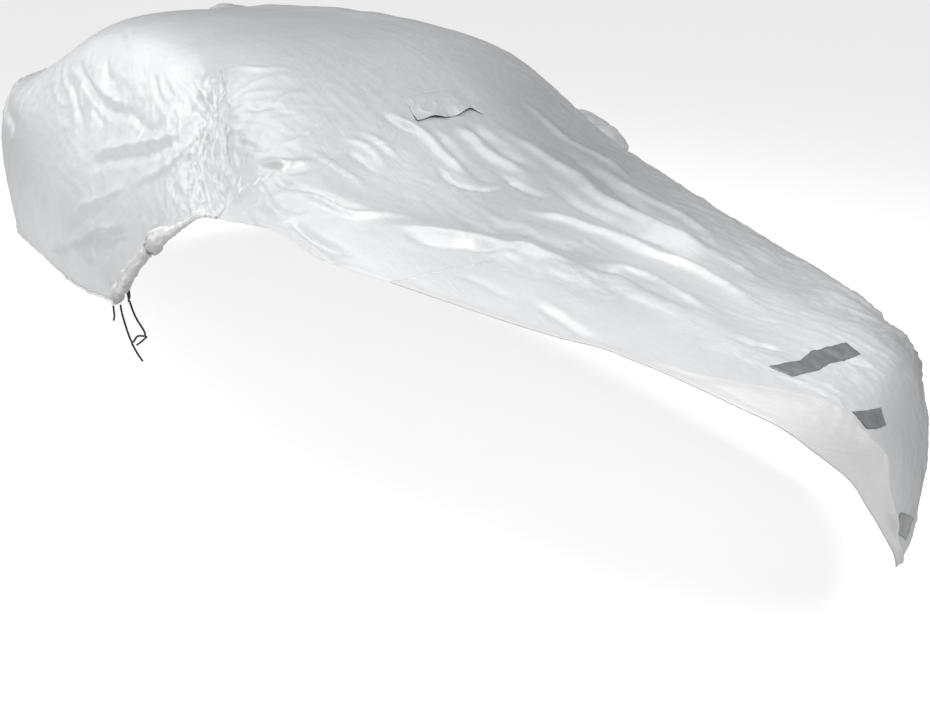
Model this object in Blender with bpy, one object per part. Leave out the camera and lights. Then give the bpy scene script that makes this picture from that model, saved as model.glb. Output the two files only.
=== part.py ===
"""Fitted car cover of thin silver cloth, with the hem of its right front corner lifted and turned back.

Frame: +X is the cover's left, -Y its front, +Z up. The origin is on the underside of the cloth at the top of
the roof, where the cover is held up. The cloth is laid out in two coordinates:
    along   metres over the middle of the cover, from the rear hem up over the roof and down to the front hem
    across  0 on the middle line, -1 and +1 where the right and left sides end
"""
import math

import bmesh
import bpy
import numpy as np
from mathutils import Vector
from mathutils.bvhtree import BVHTree

# Driving sizes, in metres. Heights in the tables are above the ground, and lengths run from front to rear.
CLOTH = 0.0025
GAP = 0.0003
SEWN_GAP = 0.0005
NEAR_CLOTH = 0.15
SHORTEST_EDGE = 0.0002
ROOF_TOP = 1.47
ROOF_REST_LENGTH = 1.80
SWEEP_POWER = 3.2

# Cross sections of the draped cloth, from the rear hem to the front hem. Each row gives the middle point
# (length, top), five points out to the side, each as half width and height, and how far the section
# sweeps back along the cover by the time it has reached the side.
SECTION_COLUMNS = ("length", "top", "crown_x", "crown_z", "edge_x", "edge_z", "shoulder_x", "shoulder_z",
                   "side_x", "side_z", "low_x", "low_z", "sweep")
SECTIONS = {
    "rear hem": (3.84, 0.32, 0.35, 0.32, 0.60, 0.32, 0.77, 0.32, 0.85, 0.32, 0.875, 0.31, -0.45),
    "rear bumper": (3.92, 0.55, 0.35, 0.55, 0.61, 0.55, 0.79, 0.54, 0.87, 0.48, 0.885, 0.31, -0.60),
    "boot edge": (3.91, 1.03, 0.35, 1.03, 0.62, 1.01, 0.81, 0.92, 0.89, 0.68, 0.89, 0.31, -0.64),
    "boot": (3.60, 1.10, 0.36, 1.095, 0.65, 1.07, 0.83, 0.97, 0.91, 0.70, 0.90, 0.31, -0.36),
    "rear window foot": (3.25, 1.165, 0.36, 1.16, 0.63, 1.125, 0.83, 0.99, 0.92, 0.71, 0.90, 0.31, -0.12),
    "rear window": (2.95, 1.295, 0.33, 1.285, 0.58, 1.23, 0.80, 1.02, 0.925, 0.71, 0.90, 0.31, -0.03),
    "rear window top": (2.60, 1.415, 0.33, 1.405, 0.56, 1.335, 0.77, 1.05, 0.925, 0.71, 0.90, 0.31, 0.0),
    "roof rear": (2.20, 1.46, 0.32, 1.45, 0.57, 1.38, 0.77, 1.07, 0.93, 0.72, 0.905, 0.31, 0.0),
    "roof": (ROOF_REST_LENGTH, ROOF_TOP, 0.33, 1.463, 0.59, 1.40, 0.77, 1.09, 0.93, 0.73, 0.905, 0.31, 0.0),
    "roof front": (1.40, 1.45, 0.34, 1.442, 0.61, 1.39, 0.79, 1.10, 0.93, 0.74, 0.905, 0.31, 0.0),
    "windscreen top": (1.08, 1.385, 0.35, 1.38, 0.64, 1.33, 0.82, 1.09, 0.93, 0.74, 0.905, 0.31, 0.0),
    "windscreen": (0.72, 1.20, 0.37, 1.19, 0.69, 1.135, 0.855, 1.005, 0.93, 0.72, 0.905, 0.31, 0.0),
    "windscreen foot": (0.36, 1.045, 0.38, 1.04, 0.70, 1.01, 0.865, 0.915, 0.93, 0.68, 0.905, 0.31, 0.02),
    "bonnet": (-0.05, 0.945, 0.38, 0.94, 0.69, 0.915, 0.865, 0.825, 0.92, 0.63, 0.905, 0.30, 0.10),
    "bonnet front": (-0.50, 0.865, 0.36, 0.862, 0.63, 0.845, 0.81, 0.775, 0.90, 0.58, 0.90, 0.29, 0.30),
    "bonnet edge": (-0.82, 0.775, 0.34, 0.775, 0.58, 0.755, 0.75, 0.685, 0.88, 0.54, 0.895, 0.28, 0.54),
    "nose": (-0.92, 0.61, 0.32, 0.61, 0.54, 0.60, 0.72, 0.56, 0.85, 0.46, 0.89, 0.27, 0.60),
    "bumper": (-0.945, 0.42, 0.32, 0.42, 0.53, 0.41, 0.70, 0.40, 0.83, 0.35, 0.88, 0.27, 0.55),
    "front hem": (-0.945, 0.26, 0.32, 0.26, 0.54, 0.26, 0.70, 0.26, 0.80, 0.26, 0.85, 0.26, 0.42),
}

# Lines on the cloth, as (along, across).
RIGHT_HEM = ((0.0, -1.0), (1.4, -1.0), (1.9, -0.99), (2.58, -0.97), (3.04, -0.92), (3.24, -0.90),
             (3.34, -0.865), (3.51, -0.79), (3.71, -0.695), (3.81, -0.67), (3.94, -0.615), (4.06, -0.565),
             (4.16, -0.55), (4.38, -0.505), (4.59, -0.50), (4.77, -0.445), (4.95, -0.39), (5.16, -0.305),
             (5.24, -0.26), (5.46, -0.21), (5.54, -0.185), (5.61, -0.145), (5.71, -0.09), (5.80, -0.02),
             (5.88, 0.025), (6.0, 0.115), (6.16, 0.28))
RIGHT_SEAM = ((0.0, -0.44), (0.7, -0.43), (1.4, -0.41), (2.07, -0.36), (2.5, -0.34), (3.3, -0.345),
              (3.6, -0.345), (3.75, -0.375), (3.86, -0.43), (4.04, -0.50), (4.12, -0.535))
LEFT_SEAM = ((0.0, 0.44), (0.7, 0.43), (1.4, 0.41), (2.07, 0.36), (2.5, 0.34), (3.3, 0.345), (3.7, 0.38),
             (4.1, 0.44), (4.8, 0.49), (5.4, 0.52), (5.8, 0.50), (6.16, 0.48))
RIGHT_SIDE_END_ALONG = 4.12
CROSS_SEAM_ALONG = 4.77
FRONT_HEM_ALONG = 6.15
# The left side is sewn from three lengths of cloth, each given by where it starts.
LEFT_PANELS = {"quarter_panel_left": 0.0, "side_panel_left": 2.06, "wing_panel_left": CROSS_SEAM_ALONG}

# Grid of the solids: rows along and columns across each band of cloth.
SIDE_ROWS = 36
SCREEN_ROWS = 6
BONNET_ROWS = 13
RIGHT_COLUMNS = 18
CENTRE_COLUMNS = 28
LEFT_COLUMNS = 14
COLUMN_BLEND = 0.4

# The right hem is rolled outwards on itself. Radius of the roll, as (along, radius).
HEM_ROLL = ((0.0, 0.005), (3.24, 0.007), (3.36, 0.026), (3.46, 0.030), (3.58, 0.029), (3.68, 0.019),
            (3.76, 0.034), (3.86, 0.021), (3.98, 0.009), (4.12, 0.005))
HEM_ROLL_STEPS = 8
HEM_ROLL_CLEARANCE = 0.0012
# In front of the cross seam it is folded flat instead. Width that is turned back, as (along, width).
TURN_BACK = ((4.77, 0.04), (5.2, 0.06), (5.4, 0.12), (5.55, 0.185), (5.66, 0.20), (5.79, 0.15),
             (5.92, 0.075), (6.15, 0.03))
TURN_BACK_LIFT = 0.0055
TURN_BACK_COLUMNS = 4
TURN_STEPS = 3

# Main folds: half width, height over the cloth (negative is a trough) and route as (along, across).
FOLD_COLUMNS = ("width", "height", "route")
FOLDS = {
    "door sweep": (0.055, 0.016, ((3.77, -0.45), (3.55, -0.52), (3.05, -0.585), (2.76, -0.64))),
    "door sweep trough": (0.055, -0.014, ((3.72, -0.50), (3.55, -0.55), (3.10, -0.62), (2.70, -0.68))),
    "door middle": (0.060, 0.016, ((3.40, -0.61), (3.06, -0.70), (2.72, -0.775))),
    "door middle trough": (0.065, -0.016, ((3.30, -0.665), (2.91, -0.765), (2.62, -0.83))),
    "knot ridge": (0.055, 0.020, ((3.66, -0.67), (3.32, -0.72), (2.92, -0.805), (2.30, -0.92))),
    "knot trough": (0.065, -0.015, ((3.56, -0.715), (3.16, -0.785), (2.80, -0.86))),
    "low ridge": (0.055, 0.014, ((3.36, -0.76), (3.18, -0.82), (2.80, -0.90))),
    "quarter valley": (0.050, -0.016, ((2.09, -0.42), (2.43, -0.475), (2.80, -0.52), (3.30, -0.52))),
    "quarter ridge": (0.045, 0.014, ((2.25, -0.40), (2.54, -0.44), (2.90, -0.475), (3.16, -0.485))),
    "rear quarter valley": (0.050, -0.012, ((2.10, -0.47), (2.40, -0.54), (2.60, -0.60))),
    "boot corner": (0.070, -0.014, ((0.80, -0.55), (1.30, -0.62), (1.75, -0.66))),
    "pillar valley": (0.045, -0.014, ((3.26, -0.41), (3.40, -0.44), (3.66, -0.46))),
    "windscreen trough": (0.055, -0.018, ((4.12, -0.44), (4.28, -0.40), (4.41, -0.37), (4.46, -0.25))),
    "windscreen ridge": (0.050, 0.016, ((4.20, -0.45), (4.32, -0.42), (4.47, -0.35), (4.50, -0.20))),
    "bonnet side ridge": (0.050, 0.017, ((4.52, -0.33), (4.66, -0.24), (4.80, -0.155), (4.92, -0.10))),
    "bonnet side trough": (0.050, -0.012, ((4.58, -0.35), (4.68, -0.29), (4.80, -0.21))),
    "scallop": (0.045, 0.012, ((4.03, -0.20), (4.11, -0.185), (4.22, -0.18))),
    "screen ridge right": (0.050, 0.014, ((3.93, -0.13), (4.04, -0.10), (4.20, -0.075), (4.40, -0.04))),
    "screen ridge middle": (0.050, 0.016, ((4.02, 0.01), (4.15, 0.03), (4.30, 0.05), (4.46, 0.075))),
    "screen trough": (0.050, -0.013, ((4.05, 0.06), (4.20, 0.08), (4.40, 0.125), (4.65, 0.115))),
    "long ridge": (0.060, 0.018, ((4.02, 0.12), (4.28, 0.175), (4.60, 0.195), (4.95, 0.24), (5.25, 0.26))),
    "long trough": (0.055, -0.014, ((4.45, 0.11), (4.70, 0.135), (4.98, 0.185), (5.20, 0.19))),
    "centre ridge": (0.055, 0.017, ((4.42, -0.05), (4.68, 0.035), (4.97, 0.12), (5.20, 0.14), (5.38, 0.13))),
    "outer ridge": (0.050, 0.012, ((4.10, 0.27), (4.33, 0.29), (4.70, 0.32), (4.98, 0.31))),
    "right ridge": (0.050, 0.012, ((4.90, -0.06), (5.03, -0.005), (5.26, 0.03))),
    "right trough": (0.050, -0.010, ((4.90, -0.10), (5.05, -0.05), (5.24, -0.03))),
    "bonnet crease": (0.045, -0.010, ((5.30, -0.04), (5.40, -0.005), (5.50, 0.06))),
    "tuck": (0.050, -0.012, ((4.98, -0.27), (5.09, -0.262), (5.20, -0.262))),
    "mirror pull": (0.060, 0.016, ((3.98, 0.56), (4.30, 0.60), (4.75, 0.66))),
    "mirror pull rear": (0.060, 0.016, ((3.80, 0.56), (3.45, 0.60), (2.95, 0.66))),
    "left door": (0.065, 0.014, ((3.80, 0.66), (3.30, 0.76), (2.70, 0.83))),
    "left wing": (0.065, -0.014, ((4.20, 0.70), (4.60, 0.78), (5.00, 0.84))),
    "left quarter": (0.055, -0.014, ((2.15, 0.43), (2.50, 0.50), (2.95, 0.53))),
    "left boot corner": (0.070, -0.014, ((0.80, 0.55), (1.30, 0.62), (1.75, 0.66))),
    "rear middle": (0.070, -0.012, ((0.10, -0.25), (0.45, -0.20), (0.70, -0.05))),
    "rear left": (0.070, 0.012, ((0.10, 0.35), (0.40, 0.28), (0.65, 0.20))),
    "nose corner": (0.055, 0.018, ((5.50, 0.42), (5.62, 0.41), (5.74, 0.42))),
    "nose left": (0.060, -0.012, ((5.70, 0.62), (5.85, 0.55), (6.05, 0.50))),
    "aerial": (0.060, 0.035, ((1.93, -0.02), (1.98, 0.0), (2.05, 0.02))),
}
FOLD_SAMPLE = 0.02
FOLD_END = 0.25

# Mirror pocket on the left: middle and half sizes on the cloth, opening under it, and how far it stands out.
POCKET_MIDDLE = (3.891, 0.540)
POCKET_HALF = (0.134, 0.058)
POCKET_SQUARENESS = 0.7
POCKET_DEPTH = 0.16
POCKET_LEAN = (0.25, -0.10, -0.10)
POCKET_CREASE = 0.06
POCKET_HOLE_ROWS = (3.77, 4.00)
POCKET_HOLE_COLUMNS = (0.48, 0.57)
POCKET_SIDES = 16
POCKET_RINGS = 7

# Sewn-on pieces, as their four corners (along, across) in order round the piece.
STRIPS = {
    "reflective_strip_upper": ((5.465, -0.046), (5.513, -0.034), (5.536, 0.166), (5.488, 0.170)),
    "reflective_strip_middle": ((5.650, 0.046), (5.694, 0.066), (5.716, 0.116), (5.668, 0.120)),
    "reflective_strip_lower": ((5.955, 0.170), (6.000, 0.150), (6.090, 0.290), (6.040, 0.310)),
}
STRIP_THICKNESS = 0.0010
FLAP_CORNERS = ((3.895, -0.052), (4.040, -0.070), (4.020, 0.100), (3.890, 0.085))
FLAP_THICKNESS = 0.0020
FLAP_OPEN_HEIGHT = 0.012
LOOSE_POCKET_CORNERS = ((3.55, -0.405), (3.77, -0.432), (3.735, -0.382), (3.615, -0.354))
LOOSE_POCKET_HEIGHT = 0.022

# Black elastic ties at the lowest near corner, as (x, length, height). The short tie and the loop start
# under the rolled hem, and the loop ends under the tab. The other two branch off the loop.
TIE_DIAMETER = 0.007
TIE_BEVEL_RESOLUTION = 2
TIE_TAB = {"x": -0.938, "rear": 1.302, "front": 1.266, "height": 0.034, "thickness": 0.003}
TIE_ROUTES = {
    "tie_short": ((-0.945, 1.468, 0.488), (-0.946, 1.467, 0.468), (-0.946, 1.469, 0.446),
                  (-0.947, 1.484, 0.421)),
    "tie_loop": ((-0.947, 1.366, 0.526), (-0.949, 1.358, 0.506), (-0.951, 1.328, 0.462),
                 (-0.949, 1.301, 0.419), (-0.945, 1.290, 0.402), (-0.940, 1.276, 0.413),
                 (-0.934, 1.261, 0.431), (-0.925, 1.245, 0.438), (-0.917, 1.227, 0.442),
                 (-0.918, 1.219, 0.457), (-0.925, 1.229, 0.481), (-0.932, 1.251, 0.506),
                 (-0.938, 1.282, 0.540)),
    "tie_end": ((-0.917, 1.216, 0.436), (-0.924, 1.246, 0.416), (-0.934, 1.275, 0.394)),
    "tie_tail": ((-0.945, 1.288, 0.398), (-0.943, 1.278, 0.381), (-0.940, 1.252, 0.364),
                 (-0.937, 1.222, 0.352)),
}

MATERIALS = {
    "silver_cloth": ((0.72, 0.73, 0.74), 0.42, 0.35),
    "grey_strip": ((0.28, 0.29, 0.30), 0.55, 0.0),
    "black_webbing": ((0.015, 0.015, 0.016), 0.70, 0.0),
}


def smooth(knots, values, at):
    """Read a natural cubic curve through values, given at knots, at the places `at`."""
    knots, values, at = (np.asarray(part, float) for part in (knots, values, at))
    step = np.diff(knots)
    slope = np.diff(values, axis=0) / step.reshape((-1,) + (1,) * (values.ndim - 1))
    matrix = np.eye(len(knots))
    change = np.zeros_like(values)
    for row in range(1, len(knots) - 1):
        matrix[row, row - 1:row + 2] = step[row - 1], 2 * (step[row - 1] + step[row]), step[row]
        change[row] = 6 * (slope[row] - slope[row - 1])
    bend = np.linalg.solve(matrix, change.reshape(len(knots), -1)).reshape(values.shape)
    span = np.clip(np.searchsorted(knots, at) - 1, 0, len(step) - 1)
    shape = at.shape + (1,) * (values.ndim - 1)
    size = step[span].reshape(shape)
    back = ((knots[span + 1] - at) / step[span]).reshape(shape)
    ahead = 1 - back
    curved = ((back ** 3 - back) * bend[span] + (ahead ** 3 - ahead) * bend[span + 1]) * size ** 2 / 6
    return back * values[span] + ahead * values[span + 1] + curved


def read_line(table, at):
    """Straight-line reading of a short two-column table."""
    places, values = zip(*table)
    return np.interp(at, places, values)


def unit(vectors):
    return vectors / np.linalg.norm(vectors, axis=-1, keepdims=True)


class Form:
    """The smooth draped shape and the folds on it."""
    NUDGE_ALONG = 0.02
    NUDGE_ACROSS = 0.012

    def __init__(self):
        ribs = []
        for row in SECTIONS.values():
            section = dict(zip(SECTION_COLUMNS, row))
            places = ("crown", "edge", "shoulder", "side", "low")
            x = np.array([0.0] + [section[place + "_x"] for place in places])
            z = np.array([section["top"]] + [section[place + "_z"] for place in places])
            y = section["length"] + section["sweep"] * (x / x[-1]) ** SWEEP_POWER
            left = np.stack([x, y, z], axis=1)
            right = left[:0:-1] * (-1, 1, 1)
            ribs.append(np.concatenate([right, left]))
        origin = (0.0, ROOF_REST_LENGTH, ROOF_TOP - CLOTH)
        self.ribs = np.array(ribs) - origin
        self.middle = self.ribs.shape[1] // 2
        spine = self.ribs[:, self.middle]
        steps = np.linalg.norm(np.diff(spine, axis=0), axis=1)
        self.stations = np.concatenate([[0.0], np.cumsum(steps)])
        self.folds = [self.fold_line(**dict(zip(FOLD_COLUMNS, row))) for row in FOLDS.values()]

    def row(self, along, across):
        """Points of the smooth shape at one place along and many places across, and its half girth."""
        rib = smooth(self.stations, self.ribs, [along])[0]
        steps = np.linalg.norm(np.diff(rib, axis=0), axis=1)
        reach = np.concatenate([[0.0], np.cumsum(steps)])
        reach -= reach[self.middle]
        return smooth(reach / reach[-1], rib, across), reach[-1]

    def points(self, places):
        return np.array([self.row(along, [across])[0][0] for along, across in places])

    def fold_line(self, width, height, route):
        """Sampled route of one fold, with its height fading out towards both ends."""
        corners = self.points(route)
        knots = np.concatenate([[0.0], np.cumsum(np.linalg.norm(np.diff(corners, axis=0), axis=1))])
        count = max(4, round(knots[-1] / FOLD_SAMPLE))
        share = np.linspace(0, 1, count)
        line = smooth(knots, corners, share * knots[-1])
        fade = np.clip(np.minimum(share, 1 - share) / FOLD_END, 0, 1)
        return line, width, height * fade * fade * (3 - 2 * fade)

    def relief(self, points):
        """Height of the folds over the smooth shape, at many points on it."""
        total = np.zeros(len(points))
        for line, width, height in self.folds:
            near = np.all((points > line.min(0) - 3 * width) & (points < line.max(0) + 3 * width), axis=1)
            if not near.any():
                continue
            away = np.linalg.norm(points[near, None] - line[None], axis=2)
            closest = away.argmin(axis=1)
            distance = away.min(axis=1) / width
            total[near] += height[closest] * (1 - 0.5 * distance ** 2) * np.exp(-distance ** 2)
        return total

    def cloth(self, along, across):
        """Points on the outer face of the folded cloth, and its outward direction there."""
        across = np.asarray(across, float)
        here = self.row(along, across)[0]
        ahead = self.row(along + self.NUDGE_ALONG, across)[0]
        behind = self.row(along - self.NUDGE_ALONG, across)[0]
        left = self.row(along, across + self.NUDGE_ACROSS)[0]
        right = self.row(along, across - self.NUDGE_ACROSS)[0]
        out = unit(np.cross(left - right, behind - ahead))
        here, ahead, behind, left, right = (
            part + self.relief(part)[:, None] * out for part in (here, ahead, behind, left, right))
        return here, unit(np.cross(left - right, behind - ahead))


def make_material(name):
    colour, roughness, metallic = MATERIALS[name]
    material = bpy.data.materials.get(name) or bpy.data.materials.new(name)
    material.use_nodes = True
    shader = material.node_tree.nodes["Principled BSDF"]
    shader.inputs["Base Color"].default_value = (*colour, 1)
    shader.inputs["Roughness"].default_value = roughness
    shader.inputs["Metallic"].default_value = metallic
    material.diffuse_color = (*colour, 1)
    return material


def make_object(name, vertices, faces, material, parent):
    mesh = bpy.data.meshes.new(name)
    mesh.from_pydata([tuple(map(float, vertex)) for vertex in vertices], [], faces)
    mesh.validate()
    mesh.shade_smooth()
    mesh.set_sharp_from_angle(angle=math.radians(50))
    piece = bpy.data.objects.new(name, mesh)
    piece.data.materials.append(make_material(material))
    bpy.context.scene.collection.objects.link(piece)
    piece.parent = parent
    return piece


def closed_sheet(outer, inner, faces):
    """Vertices and triangles of the solid between two copies of the same open mesh.

    The walls of two sheets that meet at a seam take the same diagonals.
    """
    count = len(outer)
    edges = {(face[corner - 1], face[corner]) for face in faces for corner in range(3)}
    solid = list(faces) + [tuple(count + corner for corner in reversed(face)) for face in faces]
    for start, end in sorted(edges):
        if (end, start) in edges:
            continue
        if start < end:
            solid += [(end, start, count + start), (end, count + start, count + end)]
        else:
            solid += [(end, start, count + end), (start, count + start, count + end)]
    return np.concatenate([outer, inner]), solid


def grid_faces(rows, columns, crossed=(), hole=None):
    """Triangles of a grid of points, which face outwards on this cloth.

    The columns named in `crossed` take the other diagonal of their squares. `hole` is the first and last
    row and column of the squares that are left out.
    """
    faces = []
    for row in range(rows - 1):
        for column in range(columns - 1):
            if hole and hole[0] <= row < hole[1] and hole[2] <= column < hole[3]:
                continue
            a, b = row * columns + column, (row + 1) * columns + column
            c, d = b + 1, a + 1
            faces += [(a, b, d), (b, c, d)] if column in crossed else [(a, b, c), (a, c, d)]
    return faces


def sheet_solid(outer, inner, faces):
    """The solid between two grids of points, without the points that no face uses."""
    outer, inner = outer.reshape(-1, 3), inner.reshape(-1, 3)
    used = sorted({corner for face in faces for corner in face})
    place = {old: new for new, old in enumerate(used)}
    return closed_sheet(outer[used], inner[used], [tuple(place[corner] for corner in face) for face in faces])


def even(start, end, count):
    """A column rule: `count` even columns between two lines on the cloth."""
    return lambda along: np.linspace(start(along), end(along), count + 1)


def right_hem(along):
    return read_line(RIGHT_HEM, along)


def right_seam(along):
    return read_line(RIGHT_SEAM, along)


def left_seam(along):
    return read_line(LEFT_SEAM, along)


def sheet_rows(form, alongs, columns):
    """Grid of points and outward directions, with its columns spread by a column rule."""
    points, outs = [], []
    for along in alongs:
        row, out = form.cloth(along, columns(along))
        points.append(row)
        outs.append(out)
    return np.array(points), np.array(outs)


def part_seam(points, outs, column, side):
    """Draw one edge column back by half a gap from the seam that it shares with its neighbour."""
    neighbour = points[:, 1] if column == 0 else points[:, -2]
    inward = unit(neighbour - points[:, column])
    inward -= np.sum(inward * outs[:, column], axis=1, keepdims=True) * outs[:, column]
    points[:, column] += side * unit(inward) * GAP / 2


def part_end(points, row):
    """Draw the first or last row back by half a gap from the seam that it shares with its neighbour."""
    neighbour = points[1] if row == 0 else points[-2]
    points[row] += unit(neighbour - points[row]) * GAP / 2


def make_panel(name, points, outs, parent, hole=None):
    faces = grid_faces(*points.shape[:2], hole=hole)
    vertices, solid = sheet_solid(points, points - CLOTH * outs, faces)
    make_object(name, vertices, solid, "silver_cloth", parent)
    return points.reshape(-1, 3), grid_faces(*points.shape[:2])


def hem_directions(points, outs):
    """Direction square to the hem, away from the sheet, at each row of its first column."""
    run = np.gradient(points[:, 0], axis=0)
    away = unit(np.cross(run, outs[:, 0]))
    outward = points[:, 0] - points[:, 1]
    return away * np.sign(np.sum(away * outward, axis=1, keepdims=True))


def make_right_side(form, alongs, parent):
    """The right side cloth, with its hem rolled outwards into a soft rope towards the front."""
    points, outs = sheet_rows(form, alongs, even(right_hem, right_seam, RIGHT_COLUMNS))
    part_seam(points, outs, -1, 1)
    middle = points - outs * CLOTH / 2
    away = hem_directions(points, outs)
    radius = read_line(HEM_ROLL, alongs)[:, None]
    clear = np.arccos(np.clip(1 - (CLOTH + HEM_ROLL_CLEARANCE) / radius, -1, 1))
    rolled, facing = [], []
    for step in range(HEM_ROLL_STEPS, 0, -1):
        turn = (2 * math.pi - clear) * step / HEM_ROLL_STEPS
        ray = -np.cos(turn) * outs[:, 0] + np.sin(turn) * away
        rolled.append(middle[:, 0] + radius * (outs[:, 0] + ray))
        facing.append(-ray)
    middle = np.concatenate([np.stack(rolled, axis=1), middle], axis=1)
    facing = np.concatenate([np.stack(facing, axis=1), outs], axis=1)
    faces = grid_faces(*middle.shape[:2])
    vertices, solid = sheet_solid(middle + facing * CLOTH / 2, middle - facing * CLOTH / 2, faces)
    make_object("side_panel_right", vertices, solid, "silver_cloth", parent)
    return vertices, solid


def make_left_side(form, alongs, parent):
    """The left side cloth in its three lengths, the middle one with the opening into the mirror pocket."""
    points, outs = sheet_rows(form, alongs, even(left_seam, lambda along: 1.0, LEFT_COLUMNS))
    part_seam(points, outs, 0, 1)
    starts = [int(np.abs(alongs - along).argmin()) for along in LEFT_PANELS.values()]
    across = np.linspace(left_seam(POCKET_MIDDLE[0]), 1.0, LEFT_COLUMNS + 1)
    panels = []
    for name, first, end in zip(LEFT_PANELS, starts, starts[1:] + [len(alongs)]):
        rows = slice(first, end + 1)
        panel = points[rows].copy()
        if first > 0:
            part_end(panel, 0)
        if end < len(alongs):
            part_end(panel, -1)
        hole = (*np.searchsorted(alongs[rows], POCKET_HOLE_ROWS), *np.searchsorted(across, POCKET_HOLE_COLUMNS))
        panels.append(make_panel(name, panel, outs[rows], parent, hole))
    return panels


def turned_columns(form):
    """A column rule: narrow columns as far as the turned-back cloth reaches, even ones beyond."""
    def columns(along):
        reach = read_line(TURN_BACK, along) / form.row(along, [0.0])[1]
        turned = right_hem(along) + reach * np.linspace(0, 1, TURN_BACK_COLUMNS + 1)
        plain = np.linspace(turned[-1], left_seam(along), CENTRE_COLUMNS - TURN_BACK_COLUMNS + 1)
        return np.concatenate([turned, plain[1:]])
    return columns


def roof_columns(form):
    """A column rule: even columns, which near the cross seam run into those of the bonnet."""
    at_seam = turned_columns(form)(CROSS_SEAM_ALONG)
    at_seam = (at_seam - at_seam[0]) / (at_seam[-1] - at_seam[0])
    plain = np.linspace(0, 1, CENTRE_COLUMNS + 1)

    def columns(along):
        start = right_seam(along) if along <= RIGHT_SIDE_END_ALONG else right_hem(along)
        blend = np.clip(1 - (CROSS_SEAM_ALONG - along) / COLUMN_BLEND, 0, 1)
        shares = plain + blend * (at_seam - plain)
        return start + (left_seam(along) - start) * shares
    return columns


def make_bonnet(form, alongs, parent):
    """The bonnet cloth: its right hem turns over and lies back on the cloth, widest at the nose."""
    points, outs = sheet_rows(form, alongs, turned_columns(form))
    part_end(points, 0)
    part_seam(points, outs, -1, 1)
    middle = points - outs * CLOTH / 2
    away = hem_directions(points, outs)
    radius = TURN_BACK_LIFT / 2
    bend, bend_facing = [], []
    for step in range(TURN_STEPS, 0, -1):
        turn = math.pi * step / (TURN_STEPS + 1)
        ray = -math.cos(turn) * outs[:, 0] + math.sin(turn) * away
        bend.append(middle[:, 0] + radius * (outs[:, 0] + ray))
        bend_facing.append(-ray)
    top = slice(TURN_BACK_COLUMNS, None, -1)
    folded = middle[:, top] + TURN_BACK_LIFT * outs[:, top]
    middle = np.concatenate([folded, np.stack(bend, axis=1), middle], axis=1)
    facing = np.concatenate([-outs[:, top], np.stack(bend_facing, axis=1), outs], axis=1)
    faces = grid_faces(*middle.shape[:2], crossed=range(TURN_BACK_COLUMNS))
    vertices, solid = sheet_solid(middle + facing * CLOTH / 2, middle - facing * CLOTH / 2, faces)
    make_object("bonnet_panel", vertices, solid, "silver_cloth", parent)
    return points.reshape(-1, 3), grid_faces(*points.shape[:2])


class Outline:
    """A straight-sided outline on the cloth, through places given as (along, across)."""

    def __init__(self, form, corners):
        cloth = [form.cloth(along, [across]) for along, across in corners]
        self.corners = np.array([points[0] for points, outs in cloth])
        self.middle = self.corners.mean(axis=0)
        self.out = unit(np.sum([outs[0] for points, outs in cloth], axis=0))
        self.sides = unit(np.cross(np.roll(self.corners, -1, axis=0) - self.corners, self.out))
        inside = np.sum((self.middle - self.corners) * self.sides, axis=1, keepdims=True) > 0
        self.sides = np.where(inside, -self.sides, self.sides)

    def depths(self, points):
        """Distance of points inside each side of the outline."""
        return np.sum((self.corners - points[:, None]) * self.sides, axis=2)

    def cut(self, sheets, longest):
        """The part of the sheets' outer faces inside the outline: points, outward directions, triangles.

        Each sheet is points and triangles. Edges over `longest` are divided, without leaving the faces.
        """
        shape = bmesh.new()
        reach = np.linalg.norm(self.corners - self.middle, axis=1).max()
        for points, faces in sheets:
            near = np.linalg.norm(points - self.middle, axis=1) < reach + NEAR_CLOTH
            a, b, c = (points[corner] for corner in np.array(faces).T)
            outer = np.cross(b - a, c - a) @ self.out > 0
            kept = [face for face, faces_out in zip(faces, outer) if faces_out and near[list(face)].any()]
            corners = {place: shape.verts.new(points[place]) for place in {c for face in kept for c in face}}
            for face in kept:
                shape.faces.new([corners[place] for place in face])
        for corner, side in zip(self.corners, self.sides):
            everything = shape.verts[:] + shape.edges[:] + shape.faces[:]
            bmesh.ops.bisect_plane(shape, geom=everything, dist=1e-6, plane_co=corner, plane_no=side,
                                   clear_outer=True)
        bmesh.ops.dissolve_degenerate(shape, edges=shape.edges[:], dist=SHORTEST_EDGE)
        while any(edge.calc_length() > longest for edge in shape.edges):
            bmesh.ops.triangulate(shape, faces=shape.faces[:])
            long_edges = [edge for edge in shape.edges if edge.calc_length() > longest]
            bmesh.ops.subdivide_edges(shape, edges=long_edges, cuts=1)
        bmesh.ops.triangulate(shape, faces=shape.faces[:])
        shape.normal_update()
        shape.verts.index_update()
        points = np.array([vertex.co for vertex in shape.verts])
        outs = np.array([vertex.normal for vertex in shape.verts])
        triangles = [tuple(vertex.index for vertex in face.verts) for face in shape.faces]
        shape.free()
        return points, outs, triangles


def make_sewn(name, form, sheets, corners, profile, material, parent, longest=0.3):
    """A piece sewn on the cloth, cut to its facets.

    `profile` gives its underside and its top over the cloth from the shares of its way down and sideways.
    """
    outline = Outline(form, corners)
    points, outs, triangles = outline.cut(sheets, longest)
    first, bottom, last, top = outline.depths(points).T
    down, side = np.clip(top / (top + bottom), 0, 1), np.clip(first / (first + last), 0, 1)
    under, over = profile(down, side)
    under, over = (points + (SEWN_GAP + height)[:, None] * outs for height in (under, over))
    vertices, solid = closed_sheet(over, under, triangles)
    make_object(name, vertices, solid, material, parent)


def strip_profile(down, side):
    return 0 * down, 0 * down + STRIP_THICKNESS


def flap_profile(down, side):
    """Flat where it is sewn at the top, and gaping along its lower edge."""
    gape = FLAP_OPEN_HEIGHT * down ** 2 * (0.35 + 0.65 * np.sin(np.pi * side ** 1.6) ** 2)
    return gape, gape + FLAP_THICKNESS


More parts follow.
